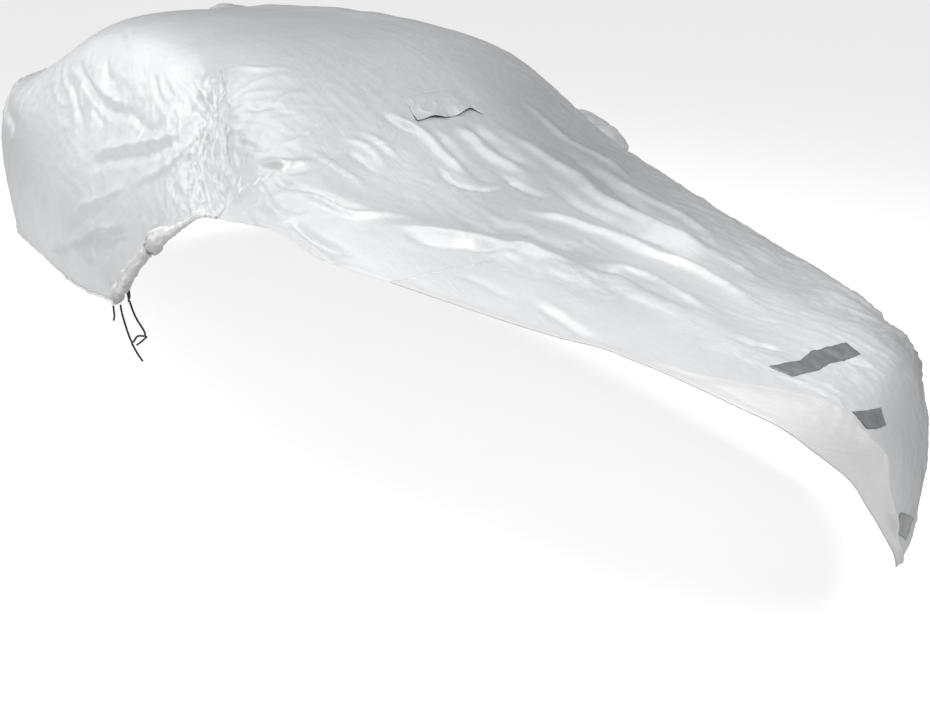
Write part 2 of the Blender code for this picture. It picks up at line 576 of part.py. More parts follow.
def loose_pocket_profile(down, side):
    """A collapsed pouch with two soft lumps."""
    dome = np.clip(np.sin(np.pi * down) * np.sin(np.pi * side), 0, 1) ** 0.7
    lumps = 0.70 + 0.30 * np.cos(3 * np.pi * down + 1.5 * side)
    return 0 * down, CLOTH + LOOSE_POCKET_HEIGHT * dome * lumps


def boundary_loop(triangles):
    """Points round the open edge of a mesh, in order."""
    edges = {(face[corner - 1], face[corner]) for face in triangles for corner in range(3)}
    following = {start: end for start, end in edges if (end, start) not in edges}
    loop = [min(following)]
    while following[loop[-1]] != loop[0]:
        loop.append(following[loop[-1]])
    return loop


def make_mirror_pocket(form, sheets, parent):
    """A hollow rounded pocket that stands out from the left side, round the opening in its cloth."""
    corners = []
    for turn in np.linspace(0, 2 * math.pi, POCKET_SIDES, endpoint=False):
        shares = [np.sign(wave) * abs(wave) ** POCKET_SQUARENESS for wave in (math.cos(turn), math.sin(turn))]
        corners.append(tuple(middle + half * share for middle, half, share
                             in zip(POCKET_MIDDLE, POCKET_HALF, shares)))
    outline = Outline(form, corners)
    points, outs, triangles = outline.cut(sheets, longest=0.05)
    loop = boundary_loop(triangles)
    rim, rim_out = points[loop] + SEWN_GAP * outs[loop], outs[loop]
    stand_out = unit(outline.out + np.array(POCKET_LEAN))
    count = len(rim)
    shells = []
    for inset in (0.0, CLOTH):
        inward = outline.middle - rim
        inward -= np.sum(inward * rim_out, axis=1, keepdims=True) * rim_out
        edge = rim + inset * unit(inward)
        rings = []
        for ring in range(POCKET_RINGS):
            rise = math.pi / 2 * ring / POCKET_RINGS
            wide = math.cos(rise) ** 0.45
            high = (POCKET_DEPTH - inset) * math.sin(rise) ** 0.9
            uneven = 1 + POCKET_CREASE * np.sin(np.arange(count) * 1.7 + ring) * math.sin(rise)
            rings.append(outline.middle * (1 - wide) + edge * wide + np.outer(high * uneven, stand_out))
        tip = outline.middle + (POCKET_DEPTH - inset) * stand_out
        shells.append(np.vstack(rings + [tip]))
    faces = []
    last = (POCKET_RINGS - 1) * count
    for side in range(count):
        beside = (side + 1) % count
        for start in range(0, last, count):
            a, b = start + side, start + beside
            faces += [(a, b, b + count), (a, b + count, a + count)]
        faces.append((last + side, last + beside, last + count))
    vertices, solid = closed_sheet(shells[0], shells[1], faces)
    make_object("mirror_pocket_left", vertices, outwards(vertices, solid), "silver_cloth", parent)


def outwards(vertices, faces):
    """Turn all faces over if the closed shape is inside out."""
    corners = np.array([[vertices[corner] for corner in face] for face in faces])
    volume = np.sum(corners[:, 0] * np.cross(corners[:, 1], corners[:, 2]))
    return faces if volume > 0 else [tuple(reversed(face)) for face in faces]


def underside(tree, x, y, half_width):
    """Height of the lowest face over a small spot."""
    spots = [(x + half_width * math.cos(turn), y + half_width * math.sin(turn))
             for turn in np.linspace(0, 2 * math.pi, 12, endpoint=False)] + [(x, y)]
    hits = [tree.ray_cast(Vector((*spot, -ROOF_TOP)), Vector((0.0, 0.0, 1.0)))[0] for spot in spots]
    return min(hit.z for hit in hits if hit)


def make_tie_tab(tree, parent):
    """Black webbing sewn under the rolled hem. Its upper edge follows the slope of the roll."""
    half = TIE_TAB["thickness"] / 2
    ends = [TIE_TAB[end] - ROOF_REST_LENGTH for end in ("rear", "front")]
    tops = [underside(tree, TIE_TAB["x"], y, half) - GAP for y in ends]
    loop = [(ends[0], tops[0]), (ends[1], tops[1]),
            (ends[1], tops[1] - TIE_TAB["height"]), (ends[0], tops[0] - TIE_TAB["height"])]
    vertices = [(TIE_TAB["x"] + side, y, z) for side in (-half, half) for y, z in loop]
    faces = [(0, 1, 2), (0, 2, 3), (4, 6, 5), (4, 7, 6)]
    for corner in range(4):
        beside = (corner + 1) % 4
        faces += [(corner, corner + 4, beside + 4), (corner, beside + 4, beside)]
    make_object("tie_tab", vertices, outwards(vertices, faces), "black_webbing", parent)
    return np.mean(tops) - TIE_TAB["height"]


def branch_point(cord, at, onward):
    """Where a second cord starts, that touches the outside of a bend in the first and leads onward."""
    radius = TIE_DIAMETER / 2
    outward = unit(2 * cord[at] - cord[at - 1] - cord[at + 1])
    facing = abs(float(np.dot(outward, unit(onward - cord[at]))))
    sideways = math.sqrt(1 - facing ** 2)
    reach = sideways * radius + math.sqrt((sideways * radius) ** 2 + GAP * (2 * radius + GAP))
    if reach * sideways < radius:
        reach = (radius + GAP) / facing
    return cord[at] + outward * reach


def make_tie(name, corners, parent):
    """A black elastic tie along a smooth curve through its corners."""
    knots = np.concatenate([[0.0], np.cumsum(np.linalg.norm(np.diff(corners, axis=0), axis=1))])
    count = round(knots[-1] / (2.2 * TIE_DIAMETER))
    places = smooth(knots, corners, np.linspace(0, knots[-1], count + 1))
    curve = bpy.data.curves.new(name, "CURVE")
    curve.dimensions = "3D"
    curve.bevel_depth = TIE_DIAMETER / 2
    curve.bevel_resolution = TIE_BEVEL_RESOLUTION
    curve.render_resolution_u = 0
    curve.use_fill_caps = True
    spline = curve.splines.new("POLY")
    spline.points.add(len(places) - 1)
    for point, place in zip(spline.points, places):
        point.co = (*map(float, place), 1)
    curve.materials.append(make_material("black_webbing"))
    tie = bpy.data.objects.new(name, curve)
    bpy.context.scene.collection.objects.link(tie)
    tie.parent = parent
    return places


def make_ties(tree, parent):
    """The webbing tab, the short tie, the loop through its knot, and the two free ends."""
    routes = {name: np.array(route) - (0.0, ROOF_REST_LENGTH, ROOF_TOP - CLOTH)
              for name, route in TIE_ROUTES.items()}
    for name in ("tie_short", "tie_loop"):
        x, y = routes[name][0, :2]
        routes[name][0, 2] = underside(tree, x, y, TIE_DIAMETER / 2) - 2 * GAP
    routes["tie_loop"][-1, 2] = make_tie_tab(tree, parent) - GAP
    make_tie("tie_short", routes["tie_short"], parent)
    loop = make_tie("tie_loop", routes["tie_loop"], parent)
    lowest, front_corner = loop[:, 2].argmin(), (loop[:, 1] + loop[:, 2]).argmin()
    for name, at in (("tie_tail", lowest), ("tie_end", front_corner)):
        routes[name][0] = branch_point(loop, at, routes[name][1])
        make_tie(name, routes[name], parent)


def build():
    for old in list(bpy.data.objects):
        bpy.data.objects.remove(old)
    cover = bpy.data.objects.new("cover", None)
    bpy.context.scene.collection.objects.link(cover)
    form = Form()

    beside = np.linspace(0.0, RIGHT_SIDE_END_ALONG, SIDE_ROWS + 1)
    screen = np.linspace(RIGHT_SIDE_END_ALONG, CROSS_SEAM_ALONG, SCREEN_ROWS + 1)
    front = np.linspace(CROSS_SEAM_ALONG, FRONT_HEM_ALONG, BONNET_ROWS + 1)
    rear = np.concatenate([beside, screen[1:]])

    points, outs = sheet_rows(form, rear, roof_columns(form))
    seam_rows = rear <= RIGHT_SIDE_END_ALONG
    moved = points.copy()
    part_seam(moved, outs, 0, 1)
    points[seam_rows, 0] = moved[seam_rows, 0]
    part_seam(points, outs, -1, 1)
    part_end(points, -1)
    roof = make_panel("roof_panel", points, outs, cover)

    bonnet = make_bonnet(form, front, cover)
    right = make_right_side(form, beside, cover)
    left = make_left_side(form, np.concatenate([rear, front[1:]]), cover)

    make_mirror_pocket(form, left, cover)
    for name, corners in STRIPS.items():
        make_sewn(name, form, [bonnet], corners, strip_profile, "grey_strip", cover)
    make_sewn("vent_flap", form, [roof], FLAP_CORNERS, flap_profile, "silver_cloth", cover, longest=0.035)
    make_sewn("mirror_pocket_right", form, [right], LOOSE_POCKET_CORNERS, loose_pocket_profile,
              "silver_cloth", cover, longest=0.035)
    make_ties(BVHTree.FromPolygons([Vector(point) for point in right[0]], right[1]), cover)


build()
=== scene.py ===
"""Fitted car cover of thin silver cloth, its right front corner lifted, rolled up and turned back.

The row frame has +X to the cover's left, -Y to its front and +Z up, in metres. Places on the cloth are given
as along, in metres over the middle from the rear hem up over the roof and down to the front hem, and across,
which is 0 on the middle line and -1 and +1 where the right and left sides end.
"""
import math

import bpy
import numpy as np
from mathutils import Matrix, Vector


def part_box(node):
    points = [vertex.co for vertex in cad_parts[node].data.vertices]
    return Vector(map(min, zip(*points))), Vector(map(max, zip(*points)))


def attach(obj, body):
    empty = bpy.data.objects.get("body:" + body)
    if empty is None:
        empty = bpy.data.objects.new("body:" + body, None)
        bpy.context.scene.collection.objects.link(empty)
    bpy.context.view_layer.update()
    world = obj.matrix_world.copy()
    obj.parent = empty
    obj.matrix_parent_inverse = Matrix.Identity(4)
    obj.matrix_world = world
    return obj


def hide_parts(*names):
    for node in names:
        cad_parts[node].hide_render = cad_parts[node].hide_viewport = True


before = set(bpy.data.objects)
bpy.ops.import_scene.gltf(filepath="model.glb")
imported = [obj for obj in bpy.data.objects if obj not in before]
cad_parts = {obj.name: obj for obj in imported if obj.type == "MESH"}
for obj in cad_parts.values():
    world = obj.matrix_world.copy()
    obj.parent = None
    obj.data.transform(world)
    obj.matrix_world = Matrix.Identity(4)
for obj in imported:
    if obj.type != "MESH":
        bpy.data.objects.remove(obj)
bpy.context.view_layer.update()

# ---- Camera
# It stands off the near front corner, a little higher than the roof, and looks down along the cover.
ORIGIN = np.array([0.0, 1.80, 1.4675])  # the row frame's origin, in the cover's widths, lengths, heights
CAMERA_PLACE = np.array([-1.782, -1.7077, 1.6903]) - ORIGIN
YAW, PITCH, ROLL = 0.6659, -0.4216, 0.0351
SENSOR_WIDTH, LENS = 36.0, 34.015


def add_object(name, data):
    added = bpy.data.objects.new(name, data)
    bpy.context.scene.collection.objects.link(added)
    return added


forward = Vector((math.sin(YAW) * math.cos(PITCH), math.cos(YAW) * math.cos(PITCH), math.sin(PITCH)))
level = Vector((math.cos(YAW), -math.sin(YAW), 0.0))
upright = level.cross(forward)
sideways = math.cos(ROLL) * level + math.sin(ROLL) * upright
upwards = math.cos(ROLL) * upright - math.sin(ROLL) * level
camera = add_object("camera", bpy.data.cameras.new("camera"))
camera.data.sensor_width, camera.data.lens = SENSOR_WIDTH, LENS
turned = Matrix((sideways, upwards, -forward)).transposed().to_4x4()
camera.matrix_world = Matrix.Translation(CAMERA_PLACE) @ turned
bpy.context.scene.camera = camera

# ---- Black elastic ties
# Four lengths of round elastic that hang from the lowest near corner: a short end, a loop from the hem to the
# webbing tab, and two free ends knotted to the loop. They are braided over rubber, and hang limp in curves.
TIE_DIAMETER, TIE_SIDES, TIE_STEP = 0.007, 16, 0.006
TIE_BRAID, BRAID_SLANT = 0.0022, 0.55
BAND_PITCH = 0.31  # of the bands of Blender's wave texture, at a scale of 1
# Routes in the cover's own widths, lengths and heights.
TIE_ROUTES = {
    "tie_short": ((-0.945, 1.468, 0.4836), (-0.946, 1.467, 0.468), (-0.946, 1.469, 0.446),
                  (-0.947, 1.484, 0.421)),
    "tie_loop": ((-0.947, 1.366, 0.5213), (-0.949, 1.358, 0.506), (-0.951, 1.328, 0.462),
                 (-0.949, 1.301, 0.419), (-0.945, 1.290, 0.402), (-0.940, 1.276, 0.413),
                 (-0.934, 1.261, 0.431), (-0.925, 1.245, 0.438), (-0.917, 1.227, 0.442),
                 (-0.918, 1.219, 0.457), (-0.925, 1.229, 0.481), (-0.932, 1.251, 0.506),
                 (-0.938, 1.282, 0.5625)),
    "tie_end": ((-0.9133, 1.2192, 0.4406), (-0.924, 1.246, 0.416), (-0.934, 1.275, 0.394)),
    "tie_tail": ((-0.9464, 1.2938, 0.3982), (-0.943, 1.278, 0.381), (-0.940, 1.252, 0.364),
                 (-0.937, 1.222, 0.352)),
}


class Signal:
    """One output of a shader node. Arithmetic on it adds Math nodes."""

    def __init__(self, finish, socket):
        self.finish, self.socket = finish, socket

    def math(self, operation, *values):
        return self.finish.node("ShaderNodeMath", {"operation": operation}, dict(enumerate(values)))

    def __add__(self, other):
        return self.math("ADD", self, other)

    def __sub__(self, other):
        return self.math("SUBTRACT", self, other)

    def __rsub__(self, other):
        return self.math("SUBTRACT", other, self)

    def __mul__(self, other):
        return self.math("MULTIPLY", self, other)

    def __abs__(self):
        return self.math("ABSOLUTE", self)

    __radd__, __rmul__ = __add__, __mul__


class Finish:
    """A material, written as the nodes that make it."""

    def __init__(self, name, **constants):
        self.material = bpy.data.materials.new(name)
        self.material.use_nodes = True
        self.tree = self.material.node_tree
        self.shader = self.tree.nodes["Principled BSDF"]
        self.set(**constants)

    def set(self, **values):
        """Values or signals for the shader's sockets, with underscores for spaces in their names."""
        for name, value in values.items():
            self.fill(self.shader.inputs[name.replace("_", " ")], value)

    def fill(self, socket, value):
        if isinstance(value, Signal):
            self.tree.links.new(value.socket, socket)
        else:
            socket.default_value = value

    def node(self, kind, settings, sockets, output=0):
        """A node of that kind: its settings first, then its sockets by name or number."""
        node = self.tree.nodes.new(kind)
        for name, value in settings.items():
            setattr(node, name, value)
        for name, value in sockets.items():
            self.fill(node.inputs[name], value)
        return Signal(self, node.outputs[output])

    def place(self, uv_map, scale=(1.0, 1.0), turn=0.0):
        """Metres on the piece's own surface, scaled and turned."""
        uv = self.node("ShaderNodeUVMap", {"uv_map": uv_map}, {})
        return self.node("ShaderNodeMapping", {"vector_type": "POINT"}, {
            "Vector": uv, "Scale": (*scale, 1.0), "Rotation": (0.0, 0.0, math.radians(turn))})

    def noise(self, place, scale, detail=2.0, roughness=0.5, distortion=0.0):
        return self.node("ShaderNodeTexNoise", {"noise_dimensions": "2D"}, {
            "Vector": place, "Scale": scale, "Detail": detail, "Roughness": roughness,
            "Distortion": distortion})

    def bands(self, place, scale, direction):
        """Soft stripes from 0 to 1 across a direction."""
        return self.node("ShaderNodeTexWave", {"wave_type": "BANDS", "bands_direction": direction}, {
            "Vector": place, "Scale": scale})

    def blend(self, share, low, high):
        """A colour between two others."""
        sockets = {0: share, 6: (*low, 1.0), 7: (*high, 1.0)}
        return self.node("ShaderNodeMix", {"data_type": "RGBA"}, sockets, 2)

    def between(self, value, low, high, to_low=0.0, to_high=1.0):
        return self.node("ShaderNodeMapRange", {"interpolation_type": "SMOOTHSTEP"}, {
            0: value, 1: low, 2: high, 3: to_low, 4: to_high})

    def bump(self, height):
        """Tilts the surface by a height in metres."""
        return self.node("ShaderNodeBump", {}, {"Strength": 1.0, "Distance": 1.0, "Height": height})


def smooth(knots, values, at):
    """Read a natural cubic curve through values, given at knots, at the places `at`."""
    knots, values, at = (np.asarray(part, float) for part in (knots, values, at))
    step = np.diff(knots)
    slope = np.diff(values, axis=0) / step.reshape((-1,) + (1,) * (values.ndim - 1))
    matrix = np.eye(len(knots))
    change = np.zeros_like(values)
    for row in range(1, len(knots) - 1):
        matrix[row, row - 1:row + 2] = step[row - 1], 2 * (step[row - 1] + step[row]), step[row]
        change[row] = 6 * (slope[row] - slope[row - 1])
    bend = np.linalg.solve(matrix, change.reshape(len(knots), -1)).reshape(values.shape)
    span = np.clip(np.searchsorted(knots, at) - 1, 0, len(step) - 1)
    shape = at.shape + (1,) * (values.ndim - 1)
    size = step[span].reshape(shape)
    back = ((knots[span + 1] - at) / step[span]).reshape(shape)
    ahead = 1 - back
    curved = ((back ** 3 - back) * bend[span] + (ahead ** 3 - ahead) * bend[span + 1]) * size ** 2 / 6
    return back * values[span] + ahead * values[span + 1] + curved


def unit(vectors):
    return vectors / np.maximum(np.linalg.norm(vectors, axis=-1, keepdims=True), 1e-12)


def curve_through(corners, step):
    """Points about `step` apart on a smooth curve through the corners."""
    knots = np.concatenate([[0.0], np.cumsum(np.linalg.norm(np.diff(corners, axis=0), axis=1))])
    return smooth(knots, corners, np.linspace(0, knots[-1], max(4, round(knots[-1] / step)) + 1))


def add_mesh(name, points, edges, faces):
    mesh = bpy.data.meshes.new(name)
    mesh.from_pydata(np.asarray(points, float).tolist(), edges, faces)
    return add_object(name, mesh)


def make_piece(name, points, faces, places, materials, uv_map="cloth", painted_light=None):
    """A smooth mesh object. `places` is a pair in metres for each point, or for each corner of each face."""
    piece = add_mesh(name, points, [], faces)
    mesh = piece.data
    places = np.asarray(places, float)
    if len(places) == len(points):
        places = places[[corner for face in faces for corner in face]]
    mesh.uv_layers.new(name=uv_map).data.foreach_set("uv", places.ravel())
    mesh.shade_smooth()
    # The painted light and shade, kept on the points for the colour to read.
    if painted_light is not None:
        mesh.attributes.new("painted_light", "FLOAT", "POINT").data.foreach_set("value", np.ravel(painted_light))
    for material in materials:
        mesh.materials.append(material)
    return piece


def make_tube(name, path, radius, sides, material):
    """A round cord with closed ends, measured round it and along it."""
    run = unit(np.gradient(path, axis=0))
    side = np.cross(run[0], (1.0, 0.0, 0.0))
    turns = np.linspace(0, 2 * math.pi, sides, endpoint=False)
    rings = []
    for place, direction in zip(path, run):
        side = unit(side - np.dot(side, direction) * direction)
        other = np.cross(direction, side)
        rings.append(place + radius * (np.outer(np.cos(turns), side) + np.outer(np.sin(turns), other)))
    length = np.concatenate([[0.0], np.cumsum(np.linalg.norm(np.diff(path, axis=0), axis=1))])
    faces, places = [], []
    for ring in range(len(path) - 1):
        for turn in range(sides):
            beside = (turn + 1) % sides
            a, b = ring * sides, (ring + 1) * sides
            faces.append((a + turn, a + beside, b + beside, b + turn))
            near, far = (share * 2 * math.pi * radius / sides for share in (turn, turn + 1))
            start, end = length[ring], length[ring + 1]
            places += [(near, start), (far, start), (far, end), (near, end)]
    last = (len(path) - 1) * sides
    faces += [tuple(reversed(range(sides))), tuple(last + turn for turn in range(sides))]
    places += [(0.0, 0.0)] * (2 * sides)
    return make_piece(name, np.concatenate(rings), faces, places, [material], "cord")


def dress(piece, slot, *nodes):
    """The piece rides on the part and stands for the CAD nodes, which are hidden. The slot is not used."""
    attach(piece, "root")
    if nodes:
        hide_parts(*nodes)
    return piece


# Braid: two sets of threads wound either way round the cord, crossing over and under.
elastic = Finish("black_elastic", Roughness=0.62, Specular_IOR_Level=0.35)
one_way, other_way = (
    elastic.bands(elastic.place("cord", (hand, BRAID_SLANT)), BAND_PITCH / TIE_BRAID, "DIAGONAL")
    for hand in (1.0, -1.0))
fuzz = elastic.noise(elastic.place("cord"), 900.0)
strands = one_way.math("MAXIMUM", one_way, other_way)
elastic.set(
    Base_Color=elastic.blend(strands * 0.7 + fuzz * 0.3, (0.006, 0.006, 0.007), (0.035, 0.035, 0.038)),
    Normal=elastic.bump(strands * 0.0004 + fuzz * 0.0001))

for name, route in TIE_ROUTES.items():
    path = curve_through(np.array(route) - ORIGIN, TIE_STEP)
    tube = make_tube(name + "_cord", path, TIE_DIAMETER / 2, TIE_SIDES, elastic.material)
    tie = dress(tube, "black_webbing", name)

# ---- Webbing tab
# A short piece of flat black webbing, woven polyester, folded double and sewn under the rolled hem.
TAB_LENGTH, TAB_WIDTH, TAB_HALF_THICKNESS = 0.034, 0.036, 0.0016
TAB_EDGE, TAB_EDGE_SHARPNESS, TAB_SAG = 0.0006, 12, 0.0012
TAB_ROWS, TAB_COLUMNS = 8, 6


def grid_faces(rows, columns):
    """Squares of a grid of points, facing outwards on this cloth."""
    start = (np.arange(rows - 1)[:, None] * columns + np.arange(columns - 1)).ravel()
    return np.stack([start, start + columns, start + columns + 1, start + 1], axis=1).tolist()


webbing = Finish("black_webbing_weave", Roughness=0.72, Specular_IOR_Level=0.3)
ribs = webbing.bands(webbing.place("cloth"), 230.0, "Y")
picks = webbing.bands(webbing.place("cloth"), 420.0, "X")
webbing.set(Base_Color=webbing.blend(ribs * picks, (0.006, 0.006, 0.006), (0.03, 0.03, 0.032)),
            Normal=webbing.bump(ribs * 0.0002 + picks * 0.00015))

tab_low, tab_high = (np.array(corner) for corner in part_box("tie_tab"))
tab_x = (tab_low[0] + tab_high[0]) / 2
tab_slope = tab_high[2] - tab_low[2] - TAB_LENGTH
points, faces, places = [], [], []
for side in (-1, 1):
    for row in range(TAB_ROWS + 1):
        for column in range(TAB_COLUMNS + 1):
            down, over = row / TAB_ROWS, column / TAB_COLUMNS
            top = tab_high[2] - tab_slope * (over if tab_slope > 0 else 0)
            y = tab_low[1] + (tab_high[1] - tab_low[1]) * over
            sag = TAB_SAG * math.sin(math.pi * down) * math.cos(2 * math.pi * over)
            edge = min(over, 1 - over, 1 - down) * TAB_EDGE_SHARPNESS
            thick = TAB_HALF_THICKNESS - TAB_EDGE * math.exp(-edge * edge)
            points.append((tab_x + side * thick + sag, y, top - TAB_LENGTH * down))
            places.append((over * TAB_WIDTH, down * TAB_LENGTH))
span = (TAB_ROWS + 1) * (TAB_COLUMNS + 1)
for a, b, c, d in grid_faces(TAB_ROWS + 1, TAB_COLUMNS + 1):
    faces += [(a, d, c, b), (span + a, span + b, span + c, span + d)]
rim = ([column for column in range(TAB_COLUMNS)]
       + [row * (TAB_COLUMNS + 1) + TAB_COLUMNS for row in range(TAB_ROWS)]
       + [TAB_ROWS * (TAB_COLUMNS + 1) + column for column in range(TAB_COLUMNS, 0, -1)]
       + [row * (TAB_COLUMNS + 1) for row in range(TAB_ROWS, 0, -1)])
for start, end in zip(rim, rim[1:] + rim[:1]):
    faces.append((start, span + start, span + end, end))
dress(make_piece("webbing_tab", points, faces, places, [webbing.material]), "black_webbing", "tie_tab")

# ---- Roof cloth
# The centre panel, of thin silver-coated polyester taffeta, from the rear hem over boot, roof and windscreen
# to the cross seam on the bonnet. It is sewn to both side panels and lies in soft tension folds.
CLOTH = 0.0007
CROSS_SEAM, RIGHT_SIDE_END, FRONT_HEM = 4.77, 4.12, 6.15

# Cross sections of the draped cloth, from the rear hem to the front hem: the middle point (length, top), five
# points out to the side as half width and height, and how far the section sweeps back at the side.
SWEEP_POWER = 3.2
SECTION_COLUMNS = ("length", "top", "crown_x", "crown_z", "edge_x", "edge_z", "shoulder_x", "shoulder_z",
                   "side_x", "side_z", "low_x", "low_z", "sweep")
SECTIONS = {
    "rear hem": (3.84, 0.32, 0.35, 0.32, 0.60, 0.32, 0.77, 0.32, 0.85, 0.32, 0.875, 0.31, -0.45),
    "rear drop": (3.92, 0.55, 0.35, 0.55, 0.61, 0.55, 0.79, 0.54, 0.87, 0.48, 0.885, 0.31, -0.60),
    "boot edge": (3.91, 1.03, 0.35, 1.03, 0.62, 1.01, 0.81, 0.92, 0.89, 0.68, 0.89, 0.31, -0.64),
    "boot": (3.60, 1.10, 0.36, 1.095, 0.65, 1.07, 0.83, 0.97, 0.91, 0.70, 0.90, 0.31, -0.36),
    "rear window foot": (3.25, 1.165, 0.36, 1.16, 0.63, 1.125, 0.83, 0.99, 0.92, 0.71, 0.90, 0.31, -0.12),
    "rear window": (2.95, 1.295, 0.33, 1.285, 0.58, 1.23, 0.80, 1.02, 0.925, 0.71, 0.90, 0.31, -0.03),
    "rear window top": (2.60, 1.415, 0.33, 1.405, 0.56, 1.335, 0.77, 1.05, 0.925, 0.71, 0.90, 0.31, 0.0),
    "roof rear": (2.20, 1.46, 0.32, 1.45, 0.57, 1.38, 0.77, 1.07, 0.93, 0.72, 0.905, 0.31, 0.0),
    "roof": (1.80, 1.47, 0.33, 1.463, 0.59, 1.40, 0.77, 1.09, 0.93, 0.73, 0.905, 0.31, 0.0),
    "roof front": (1.40, 1.45, 0.34, 1.442, 0.61, 1.39, 0.79, 1.10, 0.93, 0.74, 0.905, 0.31, 0.0),
    "windscreen top": (1.08, 1.385, 0.35, 1.38, 0.64, 1.33, 0.82, 1.09, 0.93, 0.74, 0.905, 0.31, 0.0),
    "windscreen": (0.72, 1.20, 0.37, 1.19, 0.69, 1.135, 0.855, 1.005, 0.93, 0.72, 0.905, 0.31, 0.0),
    "windscreen foot": (0.36, 1.045, 0.38, 1.04, 0.70, 1.01, 0.865, 0.915, 0.93, 0.68, 0.905, 0.31, 0.02),
    "bonnet": (-0.05, 0.945, 0.38, 0.94, 0.69, 0.915, 0.865, 0.825, 0.92, 0.63, 0.905, 0.30, 0.10),
    "bonnet front": (-0.50, 0.865, 0.36, 0.862, 0.63, 0.845, 0.81, 0.775, 0.90, 0.58, 0.90, 0.29, 0.30),
    "bonnet edge": (-0.82, 0.775, 0.34, 0.775, 0.58, 0.755, 0.75, 0.685, 0.88, 0.54, 0.895, 0.28, 0.54),
    "nose": (-0.92, 0.61, 0.32, 0.61, 0.54, 0.60, 0.72, 0.56, 0.85, 0.46, 0.89, 0.27, 0.60),
    "front drop": (-0.945, 0.42, 0.32, 0.42, 0.53, 0.41, 0.70, 0.40, 0.83, 0.35, 0.88, 0.27, 0.55),
    "front hem": (-0.945, 0.26, 0.32, 0.26, 0.54, 0.26, 0.70, 0.26, 0.80, 0.26, 0.85, 0.26, 0.42),
}

# Seams and hems, as (along, across).
RIGHT_HEM = ((0.0, -1.0), (1.4, -1.0), (1.9, -0.99), (2.58, -0.97), (3.04, -0.92), (3.24, -0.90),
             (3.34, -0.865), (3.51, -0.79), (3.71, -0.695), (3.81, -0.67), (3.94, -0.615), (4.06, -0.565),
             (4.16, -0.55), (4.38, -0.505), (4.59, -0.50), (4.77, -0.445), (4.95, -0.39), (5.16, -0.305),
             (5.24, -0.26), (5.46, -0.21), (5.54, -0.185), (5.61, -0.145), (5.71, -0.09), (5.80, -0.02),
             (5.88, 0.025), (6.0, 0.115), (6.16, 0.28))
RIGHT_SEAM = ((0.0, -0.44), (0.7, -0.43), (1.4, -0.41), (2.07, -0.36), (2.5, -0.34), (3.3, -0.345),
              (3.6, -0.345), (3.75, -0.375), (3.86, -0.43), (4.04, -0.50), (4.12, -0.535))
LEFT_SEAM = ((0.0, 0.44), (0.7, 0.43), (1.4, 0.41), (2.07, 0.36), (2.5, 0.34), (3.3, 0.345), (3.7, 0.38),
             (4.1, 0.44), (4.8, 0.49), (5.4, 0.52), (5.8, 0.50), (6.16, 0.48))

